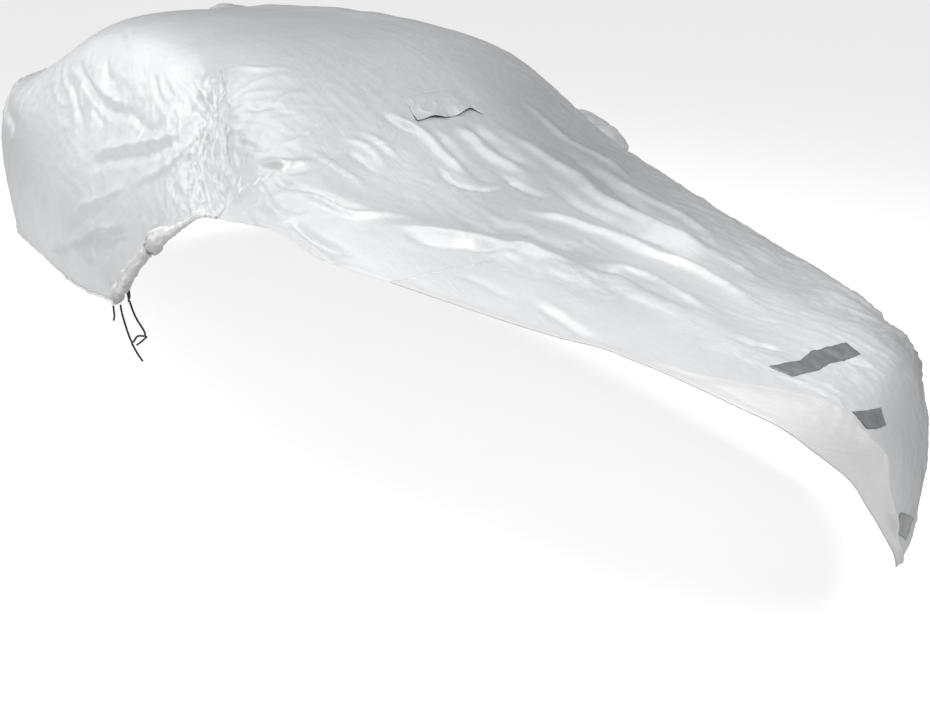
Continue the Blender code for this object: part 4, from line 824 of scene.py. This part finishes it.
def make_cloth(name, points, places, *nodes, hole=None, back_and_painted_light=0.0):
    """Thin double-sided cloth on a grid of points, silver outside and lighter inside, given its thickness."""
    rows, columns = points.shape[:2]
    faces = grid_faces(rows, columns)
    # Painted light and shade, with extra paleness for the back of the cloth and for painted light.
    painted_light = (painted_light_at(places) + back_and_painted_light).ravel()
    if hole is not None:
        faces = [face for face, left_out in zip(faces, hole.ravel()) if not left_out]
        used = sorted({corner for face in faces for corner in face})
        number = dict(zip(used, range(len(used))))
        faces = [[number[corner] for corner in face] for face in faces]
        points, places, painted_light = points.reshape(-1, 3)[used], places.reshape(-1, 2)[used], painted_light[used]
    piece = make_piece(name, points.reshape(-1, 3), faces, places.reshape(-1, 2),
                       [silver.material, silver_inside.material], painted_light=painted_light)
    thicken(piece, CLOTH, -1.0).material_offset = 1
    return dress(piece, "silver_cloth", *nodes)


HEM_ROUNDING, HEM_WANDER, FREE_HEM_WANDER, ROLL_START = 0.03, 0.002, 0.006, 3.2


def right_hem(along):
    """The right hem, its corners rounded and its line a little uneven, most where it hangs free."""
    along = np.asarray(along)
    steps = np.linspace(-HEM_ROUNDING, HEM_ROUNDING, 5)
    line = read_line(RIGHT_HEM, along[..., None] + steps).mean(axis=-1)
    wander = np.where(along < ROLL_START, FREE_HEM_WANDER, HEM_WANDER)
    return line + wander * noise(along / 0.09, 0.5, 91)


def right_seam(along):
    return read_line(RIGHT_SEAM, along)


def left_seam(along):
    return read_line(LEFT_SEAM, along)


def crinkle(finish, stretch, turn, *grain):
    """Creases with a keen bottom, as long as the stretch makes them."""
    return abs(finish.noise(finish.place("cloth", stretch, turn), *grain) - 0.5)


def painted_light_share(finish):
    """The painted light and shade of the cloth's points, from 0, painted shade, to 1, painted light."""
    painted_light = finish.node("ShaderNodeAttribute", {"attribute_name": "painted_light"}, {}, "Fac")
    return finish.between(painted_light, -1.0, 1.0)


# Silver coating on taffeta: a satin sheen, fine crinkles at several sizes, crossed creases and a tight weave.
# Heights of the relief in metres.
LONG_CRINKLE, CROSS_CRINKLE, FINE_CRINKLE, FACET, WEAVE = -0.0012, -0.0009, 0.0002, 0.00012, 0.000015
SILVER_DARK, SILVER_PALE = (0.365, 0.375, 0.385), (0.90, 0.91, 0.92)

silver = Finish("silver_taffeta", Metallic=0.30)
crinkle_long = crinkle(silver, (1.0, 3.2), -14, 9.0, 2.0, 0.55, 0.35)
crinkle_cross = crinkle(silver, (2.6, 1.0), 24, 13.0, 2.0, 0.55, 0.3)
crinkle_fine = silver.noise(silver.place("cloth", (1.0, 1.7), -14), 60.0, 3.0, 0.6, 0.2)
cracks = silver.node("ShaderNodeTexVoronoi", {"feature": "DISTANCE_TO_EDGE", "voronoi_dimensions": "2D"}, {
    "Vector": silver.place("cloth", (1.0, 1.8), -20), "Scale": 11.0, "Randomness": 1.0})
facets = silver.between(cracks, 0.0, 0.12)
patches = silver.between(silver.noise(silver.place("cloth"), 3.1, 2.0), 0.35, 0.68)
weave = silver.bands(silver.place("cloth"), 260.0, "X") * silver.bands(silver.place("cloth"), 260.0, "Y")
crinkles = crinkle_long * LONG_CRINKLE + crinkle_cross * CROSS_CRINKLE * patches + crinkle_fine * FINE_CRINKLE
tone = silver.noise(silver.place("cloth"), 5.0, 4.0, 0.6)
# The colour between dark and pale silver carries the painted light and shade, with a random tone over it.
silver.set(
    Base_Color=silver.blend(painted_light_share(silver) * 0.9 + tone * 0.2, SILVER_DARK, SILVER_PALE),
    Roughness=silver.between(crinkle_fine, 0.3, 0.7, 0.47, 0.57),
    Normal=silver.bump(crinkles + facets * FACET * patches + weave * WEAVE))

# The back of the same cloth has a thinner coating, a little warmer and more even.
BACK_CRINKLE, BACK_FINE = -0.002, 0.0003
BACK_DARK, BACK_PALE = (0.44, 0.445, 0.445), (0.90, 0.905, 0.90)

silver_inside = Finish("taffeta_back", Roughness=0.50, Metallic=0.25)
back_crinkle = crinkle(silver_inside, (1.0, 2.6), -14, 10.0, 3.0, 0.55, 0.3)
back_fine = silver_inside.noise(silver_inside.place("cloth"), 70.0, 3.0, 0.6)
# Its colour carries the same painted light and shade.
silver_inside.set(
    Base_Color=silver_inside.blend(painted_light_share(silver_inside) * 0.9 + back_fine * 0.15, BACK_DARK, BACK_PALE),
    Normal=silver_inside.bump(back_crinkle * BACK_CRINKLE + back_fine * BACK_FINE))

ROOF_FINE_FROM, ROOF_REAR_STEP, ROOF_FRONT_STEP, ROOF_COLUMNS = 3.3, 0.020, 0.0085, 132


def two_steps(fine_from, end, rear_step, front_step):
    """Places along from the rear hem to an end, closer together in the front part."""
    rear, front = np.arange(0.0, fine_from, rear_step), np.arange(fine_from, end, front_step)
    return np.concatenate([rear, front, [end]])


def roof_columns(along):
    start = right_seam(along) if along <= RIGHT_SIDE_END else right_hem(along)
    return with_edges(np.linspace(start, left_seam(along), ROOF_COLUMNS + 1))


roof_alongs = two_steps(ROOF_FINE_FROM, CROSS_SEAM, ROOF_REAR_STEP, ROOF_FRONT_STEP)
roof = Sheet(with_edges(roof_alongs), roof_columns)
roof_cloth = make_cloth("roof_cloth", roof.points, roof.places, "roof_panel")

# ---- Right side cloth
# The right side panel, sewn along the roof's edge. Its hem is lifted at the front and rolled outwards into a
# soft rope, which is bunched in a knot under the near pocket and drops to the lowest corner.
HEM_ROLL = ((0.0, 0.003), (3.20, 0.004), (3.30, 0.013), (3.36, 0.021), (3.46, 0.023), (3.58, 0.019),
            (3.66, 0.015), (3.70, 0.013), (3.76, 0.027), (3.83, 0.024), (3.90, 0.012), (3.98, 0.007),
            (4.12, 0.004))
ROLL_STEPS, ROLL_TURN = 22, 2 * math.pi - 0.5
# How deep the rope's pleats are, their length in metres, and how they wind round it.
ROPE_PLEATS, ROPE_PLEAT_LENGTH, ROPE_WIND, ROPE_PLEATS_ROUND = 0.26, 0.26, 0.35, 2.1
# How much paler the rope is painted: partly its back, partly painted light.
ROPE_BACK_AND_PAINTED_LIGHT = 0.9
SIDE_FINE_FROM, SIDE_REAR_STEP, SIDE_FRONT_STEP, SIDE_COLUMNS = 2.0, 0.018, 0.0090, 96


def away_from(sheet):
    """The way that leads off a sheet at each point of its right hem."""
    run = unit(np.gradient(sheet.points[:, 0], axis=0))
    away = unit(np.cross(run, sheet.outs[:, 0]))
    return away * np.sign(np.sum(away * (sheet.points[:, 0] - sheet.points[:, 1]), axis=1, keepdims=True))


def curl(sheet, away, turn, radius):
    """The right hem carried round a roll that lies on the sheet, by a turn and at a radius."""
    ray = math.sin(turn) * away - math.cos(turn) * sheet.outs[:, 0]
    return sheet.points[:, 0] + radius * (sheet.outs[:, 0] + ray)


side_alongs = two_steps(SIDE_FINE_FROM, RIGHT_SIDE_END, SIDE_REAR_STEP, SIDE_FRONT_STEP)
right = Sheet(side_alongs,
              lambda along: np.linspace(right_hem(along), right_seam(along) + SEAM_LAP, SIDE_COLUMNS + 1))
tuck(right, (right_seam(side_alongs)[:, None] - right.across) * right.girth[:, None])
hem_away = away_from(right)
radius = read_line(HEM_ROLL, side_alongs)[:, None]
steps = np.arange(ROLL_STEPS, 0, -1)
rolled = []
for step in steps:
    turn = ROLL_TURN * step / ROLL_STEPS
    wave = noise(side_alongs / ROPE_PLEAT_LENGTH + ROPE_WIND * turn, ROPE_PLEATS_ROUND * turn, 95)
    swell = radius * (1 + ROPE_PLEATS * crest(wave, 0.6)[:, None] * min(1.0, step / 4))
    rolled.append(curl(right, hem_away, turn, swell))
points = np.concatenate([np.stack(rolled, axis=1), right.points], axis=1)
beyond = right.metres[:, :1] - radius * ROLL_TURN * steps / ROLL_STEPS
places = places_at(side_alongs, np.concatenate([beyond, right.metres], axis=1))
# The rope is painted paler: partly the paler back of the cloth, partly painted light where the lamps reach it
# little.
back_and_painted_light = np.zeros(points.shape[:2])
back_and_painted_light[:, :ROLL_STEPS] = ROPE_BACK_AND_PAINTED_LIGHT
right_cloth = make_cloth("right_side_cloth", points, places, "side_panel_right", back_and_painted_light=back_and_painted_light)

# ---- Bonnet cloth
# The front panel, from the cross seam down over the nose. Its right hem is thrown back on itself: the cloth
# turns over and lies on top, as a narrow double edge along the bonnet and a wide corner at the nose.
TURN_BACK = ((4.77, 0.022), (5.25, 0.022), (5.40, 0.04), (5.48, 0.10), (5.57, 0.185), (5.66, 0.20),
             (5.79, 0.15), (5.92, 0.075), (6.15, 0.03))
TURN_COLUMNS, BONNET_COLUMNS, BONNET_STEP, BEND_STEPS = 22, 128, 0.0085, 6
TURN_SHARES = np.append(np.linspace(0, 1, TURN_COLUMNS), 1.0)
TURN_SHARES[-2] = 0.99
# How high the turned cloth lies, how little it may, and how far its free edge opens and flutters.
TURN_LIFT, LEAST_LIFT, PRESSED_SHARE = 0.0030, 0.0011, 0.6
EDGE_OPEN = ((4.77, 0.0), (5.30, 0.05), (5.50, 0.8), (5.75, 1.0), (6.15, 0.8))
EDGE_LIFT, FLUTTER, FLUTTER_LENGTH = 0.010, 0.002, 0.10
# How much paler the turned cloth is painted: partly its back, partly painted light.
TURNED_BACK_AND_PAINTED_LIGHT = 0.35


def bonnet_columns(along):
    reach = read_line(TURN_BACK, along) / drape.row(along, [0.0])[1]
    turned = right_hem(along) + reach * TURN_SHARES
    plain = np.linspace(turned[-1], left_seam(along), BONNET_COLUMNS + 1)
    return np.concatenate([turned, plain[1:]])


bonnet_alongs = np.append(np.arange(CROSS_SEAM - SEAM_LAP, FRONT_HEM, BONNET_STEP), FRONT_HEM)
bonnet = Sheet(bonnet_alongs, bonnet_columns)
tuck(bonnet, np.broadcast_to(bonnet_alongs[:, None] - CROSS_SEAM, bonnet.across.shape))
hem_away = away_from(bonnet)
bend = [curl(bonnet, hem_away, math.pi * step / (BEND_STEPS + 1), TURN_LIFT / 2)
        for step in range(BEND_STEPS, 0, -1)]
turned = slice(TURN_COLUMNS, None, -1)
share = TURN_SHARES[::-1]
flutter = noise(bonnet_alongs[:, None] / FLUTTER_LENGTH, share[None] * 1.2, 97)
opened = read_line(EDGE_OPEN, bonnet_alongs)[:, None]
lift = TURN_LIFT + opened * (EDGE_LIFT * share ** 2 * (0.5 + flutter) + FLUTTER * flutter * share)
lift -= (1 - opened) * PRESSED_SHARE * TURN_LIFT * share
folded = bonnet.points[:, turned] + np.maximum(lift, LEAST_LIFT)[:, :, None] * bonnet.outs[:, turned]
points = np.concatenate([folded, np.stack(bend, axis=1), bonnet.points], axis=1)
hem = bonnet.metres[:, :1]
places = places_at(bonnet_alongs, np.concatenate(
    [hem - (bonnet.metres[:, turned] - hem), np.repeat(hem, BEND_STEPS, axis=1), bonnet.metres], axis=1))
# The cloth that is turned over is painted paler, partly for its back and partly as painted light, against the
# painted shade on the nose under it.
back_and_painted_light = np.zeros(points.shape[:2])
back_and_painted_light[:, :TURN_COLUMNS + 1] = TURNED_BACK_AND_PAINTED_LIGHT * opened
bonnet_cloth = make_cloth("bonnet_cloth", points, places, "bonnet_panel", back_and_painted_light=back_and_painted_light)

# ---- Left side cloth
# The far side panel, sewn to roof and bonnet cloth and hanging to the hem, with a hole where the mirror
# pocket is sewn on.
LEFT_STEP, LEFT_COLUMNS = 0.0135, 84
POCKET_MIDDLE, POCKET_HALF = np.array([3.891, 0.540]), np.array([0.134, 0.058])
HOLE_SHARE = 0.80

left_alongs = np.append(np.arange(0.0, FRONT_HEM, LEFT_STEP), FRONT_HEM)
left = Sheet(left_alongs, lambda along: np.linspace(left_seam(along) - SEAM_LAP, 1.0, LEFT_COLUMNS + 1))
tuck(left, (left.across - left_seam(left_alongs)[:, None]) * left.girth[:, None])
(middle_along, middle_across), (half_along, half_across) = POCKET_MIDDLE, POCKET_HALF * HOLE_SHARE
in_along = (left_alongs[:, None] - middle_along) / half_along
in_across = (left.across - middle_across) / half_across
hole = (np.abs(in_along) ** 3 + np.abs(in_across) ** 3 < 1)[:-1, :-1]
left_cloth = make_cloth("left_side_cloth", left.points, left.places,
                        "quarter_panel_left", "side_panel_left", "wing_panel_left", hole=hole)

# ---- Far mirror pocket
# A rounded pouch of the same cloth that stands out from the left side and a little down, gathered into the
# seam round its foot.
POCKET_DEPTH, POCKET_SIDES, POCKET_RINGS = 0.115, 96, 40
POCKET_LEAN = np.array([0.20, -0.10, -0.52])
POCKET_SQUARE, POCKET_ROUND, POCKET_BLUNT, FOOT_RISE = 0.7, 0.45, 0.9, 0.0015
GATHERS, GATHER_WIDTH, GATHER_HEIGHT = 22, 0.05, 0.004
SAGS, SAG = 6, 0.06

turns = np.linspace(0, 2 * math.pi, POCKET_SIDES + 1)
rim, rim_out = [], []
for turn in turns:
    way = np.array([math.cos(turn), math.sin(turn)])
    point, out, place = left.at(*(POCKET_MIDDLE + POCKET_HALF * np.sign(way) * np.abs(way) ** POCKET_SQUARE))
    rim.append(point + FOOT_RISE * out)
    rim_out.append(out)
rim, rim_out = np.array(rim), np.array(rim_out)
foot = rim[:-1].mean(axis=0)
stand_out = unit(unit(rim_out[:-1].sum(axis=0)) + POCKET_LEAN)
rings, places = [], []
for up in np.linspace(0, math.pi / 2, POCKET_RINGS + 1):
    wide, high = math.cos(up) ** POCKET_ROUND, POCKET_DEPTH * math.sin(up) ** POCKET_BLUNT
    gather = noise(turns / (2 * math.pi) * GATHERS % GATHERS, 0.4 + 2.0 * up, 101)
    sag = noise(turns / (2 * math.pi) * SAGS % SAGS, 1.5 * up, 103)
    wide_here = wide * (1 + GATHER_WIDTH * gather * math.cos(up) + SAG * sag * math.sin(2 * up))
    deep_here = high * (1 + SAG * sag) + GATHER_HEIGHT * gather * math.sin(2 * up)
    wide_here[-1], deep_here[-1] = wide_here[0], deep_here[0]
    rings.append(foot + (rim - foot) * wide_here[:, None] + np.outer(deep_here, stand_out))
    places.append(np.stack([turns * 0.12, np.full(POCKET_SIDES + 1, high + 0.08 * (1 - wide))], axis=1))
points, places = np.array(rings), np.array(places)
pocket = make_cloth("far_mirror_pocket", points[:, ::-1], places[:, ::-1], "mirror_pocket_left")

# ---- Near mirror pocket
# The other pocket has slipped back and lies collapsed on the cloth at the roof's edge, as a flat crumpled
# pouch that is gathered along its lower seam.
POUCH_EDGES = ((3.55, -0.405), (3.615, -0.354)), ((3.77, -0.432), (3.735, -0.382))
POUCH_ROWS, POUCH_COLUMNS = 56, 44
POUCH_HEIGHT, POUCH_GATHERS = 0.016, 0.0015
SEWN_RISE = 0.0012


def spread(edge, count):
    """Places evenly spread along an edge of a few corners."""
    at, corners = np.linspace(0, 1, count), np.linspace(0, 1, len(edge))
    return np.stack([np.interp(at, corners, values) for values in zip(*edge)], axis=1)


def lay_patch(sheet, first_edge, last_edge, rows, columns):
    """A grid on the cloth between two edges of a few corners each: points, outward directions and places."""
    first, last = spread(first_edge, columns + 1), spread(last_edge, columns + 1)
    spots = [first * (1 - down) + last * down for down in np.linspace(0, 1, rows + 1)]
    cells = [[sheet.at(*spot) for spot in row] for row in spots]
    return tuple(np.array([[cell[part] for cell in row] for row in cells]) for part in range(3))


def patch_shares(rows, columns):
    """How far down and how far over a patch its points lie, from 0 to 1."""
    return np.meshgrid(np.linspace(0, 1, rows + 1), np.linspace(0, 1, columns + 1), indexing="ij")


points, outs, places = lay_patch(right, *POUCH_EDGES, POUCH_ROWS, POUCH_COLUMNS)
down, over = patch_shares(POUCH_ROWS, POUCH_COLUMNS)
dome = np.clip(np.sin(np.pi * down) * np.sin(np.pi * over), 0, 1) ** 0.6
lumps = 0.70 + 0.30 * np.cos(3 * np.pi * down + 1.5 * over) + 0.35 * noise(down * 5, over * 3, 105)
gathers = crest(noise(down * 16, over * 1.5, 107), 0.6) * np.exp(-(1 - over) / 0.3) * np.sin(np.pi * down)
height = SEWN_RISE + POUCH_HEIGHT * dome * lumps + POUCH_GATHERS * gathers * dome ** 0.3
pouch = make_cloth("near_mirror_pouch", points + height[:, :, None] * outs, places, "mirror_pocket_right")

# ---- Vent flap
# A small flap of the cloth, sewn near the windscreen's top along its upper edge. It is creased, and gapes
# along its lower edge.
FLAP_EDGES = (((3.905, -0.052), (3.893, 0.0), (3.880, 0.06), (3.895, 0.090)),
              ((4.032, -0.070), (4.018, -0.025), (4.026, 0.005), (4.018, 0.045), (3.990, 0.085),
               (4.020, 0.108)))
FLAP_ROWS, FLAP_COLUMNS = 36, 48
FLAP_OPEN, FLAP_CREASES, FLAP_PUFF = 0.012, 0.0032, 0.004

points, outs, places = lay_patch(roof, *FLAP_EDGES, FLAP_ROWS, FLAP_COLUMNS)
down, over = patch_shares(FLAP_ROWS, FLAP_COLUMNS)
gape = FLAP_OPEN * down ** 2 * (0.30 + 0.70 * np.abs(np.sin(2 * np.pi * over ** 1.15 + 0.4)) ** 1.5)
creased = FLAP_CREASES * crest(noise(down * 2.4, over * 5.0, 109), 0.7) * (0.3 + 0.7 * down)
puffed = FLAP_PUFF * np.sin(np.pi * down) * np.sin(np.pi * over)
height = SEWN_RISE + gape + creased + puffed
flap = make_cloth("vent_flap_cloth", points + height[:, :, None] * outs, places, "vent_flap")

# ---- Reflective strips
# Grey reflective tape with a fine bead texture, sewn to the front of the cover so that it shows at night.
STRIPS = {
    "reflective_strip_upper": (((5.465, -0.045), (5.482, 0.028), (5.466, 0.078), (5.486, 0.175)),
                               ((5.514, -0.026), (5.526, 0.040), (5.520, 0.078), (5.536, 0.166))),
    "reflective_strip_middle": (((5.652, 0.035), (5.664, 0.075), (5.674, 0.116)),
                                ((5.702, 0.054), (5.712, 0.080), (5.716, 0.112))),
    "reflective_strip_lower": (((5.955, 0.170), (6.040, 0.310)), ((6.000, 0.150), (6.090, 0.290))),
}
STRIP_THICKNESS, STRIP_ROWS, STRIP_COLUMNS = 0.0008, 10, 36

tape = Finish("grey_reflective_tape", Metallic=0.25)
beads = tape.node("ShaderNodeTexVoronoi", {"feature": "F1", "voronoi_dimensions": "2D"}, {
    "Vector": tape.place("cloth"), "Scale": 700.0})
rubbed = tape.noise(tape.place("cloth", (1.0, 1.4), 20), 22.0, 4.0, 0.6)
tape.set(Base_Color=tape.blend(rubbed, (0.21, 0.215, 0.22), (0.30, 0.305, 0.31)),
         Roughness=tape.between(rubbed, 0.3, 0.7, 0.42, 0.58),
         Normal=tape.bump(beads * 0.00004 + rubbed * 0.0012))
for name, edges in STRIPS.items():
    points, outs, places = lay_patch(bonnet, *edges, STRIP_ROWS, STRIP_COLUMNS)
    strip = make_piece(name + "_tape", (points + SEWN_RISE * outs).reshape(-1, 3),
                       grid_faces(*points.shape[:2]), places.reshape(-1, 2), [tape.material])
    thicken(strip, STRIP_THICKNESS, 0.0)
    dress(strip, "grey_strip", name)

# ---- Stitches
# Lockstitch in silver-grey polyester thread: double rows along the seams, and single rows round the hems,
# strips and flap. Each stitch is a short bead of thread that sinks into the cloth at both ends.
STITCH_PITCH, STITCH_LENGTH, THREAD = 0.0045, 0.0034, 0.0006
BEAD = {"Segments": 5, "Rings": 4, "Radius": 0.5}
ROW_GAP, SEW_STEP = 0.006, 0.012
DOUBLE_ROW = (ROW_GAP / 2, ROW_GAP * 1.5)
# How far the rows stop short of a seam that crosses them, of a hem, and of a corner, as a share across.
SEAM_CLEAR, HEM_CLEAR, CORNER_CLEAR = 0.02, 0.03, 0.01
HEM_ROW_END = 3.25  # along, where the right hem begins to roll up
FLAP_THREAD_RISE, STRIP_THREAD_RISE, STRIP_INSET = 0.0022, 0.0018, 0.06

thread = Finish("silver_thread", Base_Color=(0.42, 0.42, 0.43, 1.0), Roughness=0.55)

stitching = bpy.data.node_groups.new("stitching", "GeometryNodeTree")
stitching.interface.new_socket("Route", in_out="INPUT", socket_type="NodeSocketGeometry")
for name in ("Pitch", "Length", "Thread"):
    stitching.interface.new_socket(name, in_out="INPUT", socket_type="NodeSocketFloat")
stitching.interface.new_socket("Stitches", in_out="OUTPUT", socket_type="NodeSocketGeometry")


def graft(kind, settings, sockets, output=0):
    """A geometry node: its settings, then its sockets by name, as values or as other nodes' outputs."""
    node = stitching.nodes.new(kind)
    for name, value in settings.items():
        setattr(node, name, value)
    for name, value in sockets.items():
        if isinstance(value, bpy.types.NodeSocket):
            stitching.links.new(value, node.inputs[name])
        else:
            node.inputs[name].default_value = value
    return node.outputs[output]


given = stitching.nodes.new("NodeGroupInput").outputs
route = graft("GeometryNodeMeshToCurve", {}, {"Mesh": given["Route"]})
marks = graft("GeometryNodeCurveToPoints", {"mode": "LENGTH"}, {"Curve": route, "Length": given["Pitch"]})
facing = marks.node.outputs["Rotation"]
bead = graft("GeometryNodeMeshUVSphere", {}, BEAD)
size = graft("ShaderNodeCombineXYZ", {}, {"X": given["Thread"], "Y": given["Thread"], "Z": given["Length"]})
laid = graft("GeometryNodeInstanceOnPoints", {}, {
    "Points": marks, "Instance": bead, "Rotation": facing, "Scale": size})
solid = graft("GeometryNodeRealizeInstances", {}, {"Geometry": laid})
coloured = graft("GeometryNodeSetMaterial", {}, {"Geometry": solid, "Material": thread.material})
stitching.links.new(coloured, stitching.nodes.new("NodeGroupOutput").inputs["Stitches"])


def sew(name, slot, routes):
    """Rows of stitches along routes of points, as one piece."""
    points, edges = [], []
    for route in routes:
        edges += [(len(points) + place, len(points) + place + 1) for place in range(len(route) - 1)]
        points += route
    rows = add_mesh(name, points, edges, [])
    modifier = rows.modifiers.new("stitches", "NODES")
    modifier.node_group = stitching
    sizes = {"Pitch": STITCH_PITCH, "Length": STITCH_LENGTH, "Thread": THREAD}
    for socket in stitching.interface.items_tree:
        if socket.name in sizes:
            modifier[socket.identifier] = sizes[socket.name]
    sewn = bpy.data.meshes.new_from_object(rows.evaluated_get(bpy.context.evaluated_depsgraph_get()))
    rows.modifiers.clear()
    rows.data = sewn
    dress(rows, slot)


def route_on(sheet, spots, rise=0.0):
    """Points just above a sheet at a list of places (along, across)."""
    lifted = []
    for along, across in spots:
        point, out, place = sheet.at(along, across)
        lifted.append(point + rise * out)
    return lifted


def along_seam(sheet, line, start, end, gap):
    """A route at a gap in metres across from a line that runs along the cover."""
    alongs = np.arange(start, end, SEW_STEP)
    girths = np.interp(alongs, sheet.alongs, sheet.girth)
    return route_on(sheet, [(along, line(along) + gap / girth) for along, girth in zip(alongs, girths)])


def across_seam(sheet, along, start, end):
    """A route across the cover. Its step is about the same one, as a share of the half girth."""
    return route_on(sheet, [(along, across) for across in np.arange(start, end, SEW_STEP / 1.4)])


sew("right_seam_stitches", "silver_cloth", [
    along_seam(roof, right_seam, HEM_CLEAR, RIGHT_SIDE_END - SEAM_CLEAR, gap) for gap in DOUBLE_ROW])
sew("left_seam_stitches", "silver_cloth", [
    along_seam(sheet, left_seam, start, end, -gap)
    for sheet, start, end in ((roof, HEM_CLEAR, CROSS_SEAM - SEAM_CLEAR),
                              (bonnet, CROSS_SEAM + SEAM_CLEAR, FRONT_HEM - HEM_CLEAR))
    for gap in DOUBLE_ROW])
seam_start, seam_end = right_hem(CROSS_SEAM) + 0.004, left_seam(CROSS_SEAM) - CORNER_CLEAR
sew("cross_seam_stitches", "silver_cloth", [
    across_seam(roof, CROSS_SEAM - gap, seam_start, seam_end) for gap in DOUBLE_ROW])
sew("right_hem_stitches", "silver_cloth", [
    along_seam(right, right_hem, HEM_CLEAR, HEM_ROW_END, HEM_WIDTH),
    along_seam(roof, right_hem, RIGHT_SIDE_END + SEAM_CLEAR, CROSS_SEAM - SEAM_CLEAR, HEM_WIDTH),
    along_seam(bonnet, right_hem, CROSS_SEAM + SEAM_CLEAR, FRONT_HEM - HEM_CLEAR, HEM_WIDTH)])
sew("left_hem_stitches", "silver_cloth", [
    along_seam(left, lambda along: 1.0, HEM_CLEAR, FRONT_HEM - HEM_CLEAR, -HEM_WIDTH)])
front = FRONT_HEM - HEM_WIDTH
sew("end_hem_stitches", "silver_cloth", [
    across_seam(right, HEM_WIDTH, CORNER_CLEAR - 1, right_seam(0.0) - CORNER_CLEAR),
    across_seam(roof, HEM_WIDTH, right_seam(0.0) + CORNER_CLEAR, left_seam(0.0) - CORNER_CLEAR),
    across_seam(left, HEM_WIDTH, left_seam(0.0) + CORNER_CLEAR, 1 - CORNER_CLEAR),
    across_seam(bonnet, front, right_hem(FRONT_HEM) + HEM_CLEAR, left_seam(FRONT_HEM) - CORNER_CLEAR),
    across_seam(left, front, left_seam(FRONT_HEM) + CORNER_CLEAR, 1 - CORNER_CLEAR)])
sew("flap_stitches", "silver_cloth", [
    route_on(roof, spread(FLAP_EDGES[0], 16) + (ROW_GAP, 0.0), FLAP_THREAD_RISE)])
strip_rows = []
for first, last in STRIPS.values():
    ring = np.array([*first, *last[::-1], first[0]])
    ring += (ring[:-1].mean(axis=0) - ring) * STRIP_INSET
    strip_rows.append(route_on(bonnet, [a + (b - a) * share for a, b in zip(ring, ring[1:])
                                        for share in np.linspace(0, 1, 6)[:-1]], STRIP_THREAD_RISE))
sew("strip_stitches", "grey_strip", strip_rows)

# ---- Floor and light
# A plain white studio: a wide floor that glows and throws no light back on the cover, a pale wall far off
# that the camera alone sees, large soft lights in front, above and behind, and little from the surround.
FLOOR_SIZE, FLOOR_GLOW = 300.0, 0.75
WALL_DISTANCE, WALL_HEIGHT, WALL_SIDES, WALL_GLOW = 148.0, 120.0, 64, 0.82
SURROUND = 0.10
WHITE, BLACK, PAPER = (1.0, 1.0, 1.0, 1.0), (0.0, 0.0, 0.0, 1.0), (0.80, 0.80, 0.80, 1.0)
# Each light: the way to it from the middle of the cover, and its power.
LIGHT_AIM, LIGHT_DISTANCE, LIGHT_SIZE = Vector((0.0, -0.5, -0.6)), 5.0, 2.5
LIGHTS = {
    "front": ((0.0, -0.7, 0.7), 148.0),
    "near side": ((-1.0, 0.0, 0.12), 52.0),
    "near rear": ((-0.5, 0.8, 0.5), 54.0),
    "low near rear": ((-0.7, 0.6, 0.3), 40.0),
    "above": ((-0.1, 0.01, 1.0), 66.0),
}

ground = -float(ORIGIN[2])
half = FLOOR_SIZE / 2
floor = add_mesh("floor", [(-half, -half, ground), (half, -half, ground), (half, half, ground),
                           (-half, half, ground)], [], [(0, 1, 2, 3)])
floor.visible_diffuse = False
floor.data.materials.append(Finish("studio_floor", Base_Color=PAPER, Roughness=0.9, Emission_Color=WHITE,
                                   Emission_Strength=FLOOR_GLOW).material)

ring = [(WALL_DISTANCE * math.cos(turn), WALL_DISTANCE * math.sin(turn))
        for turn in np.linspace(0, 2 * math.pi, WALL_SIDES, endpoint=False)]
beside = [(side, (side + 1) % WALL_SIDES) for side in range(WALL_SIDES)]
wall = add_mesh("wall", [(x, y, ground + height) for height in (0.0, WALL_HEIGHT) for x, y in ring], [],
                [(side, WALL_SIDES + side, WALL_SIDES + after, after) for side, after in beside])
wall.visible_diffuse = wall.visible_glossy = wall.visible_shadow = False
wall.data.materials.append(Finish("studio_wall", Base_Color=BLACK, Roughness=1.0, Emission_Color=WHITE,
                                  Emission_Strength=WALL_GLOW).material)

world = bpy.data.worlds.new("surround")
world.use_nodes = True
surround = world.node_tree.nodes["Background"].inputs
surround["Color"].default_value, surround["Strength"].default_value = WHITE, SURROUND
bpy.context.scene.world = world

for name, (way, power) in LIGHTS.items():
    lamp = bpy.data.lights.new(name.replace(" ", "_"), "AREA")
    lamp.size, lamp.energy = LIGHT_SIZE, power
    towards = Vector(way).normalized()
    add_object(lamp.name, lamp).matrix_world = (
        Matrix.Translation(LIGHT_AIM + LIGHT_DISTANCE * towards)
        @ (-towards).to_track_quat("-Z", "Y").to_matrix().to_4x4())

bpy.context.scene.view_settings.view_transform = "Standard"
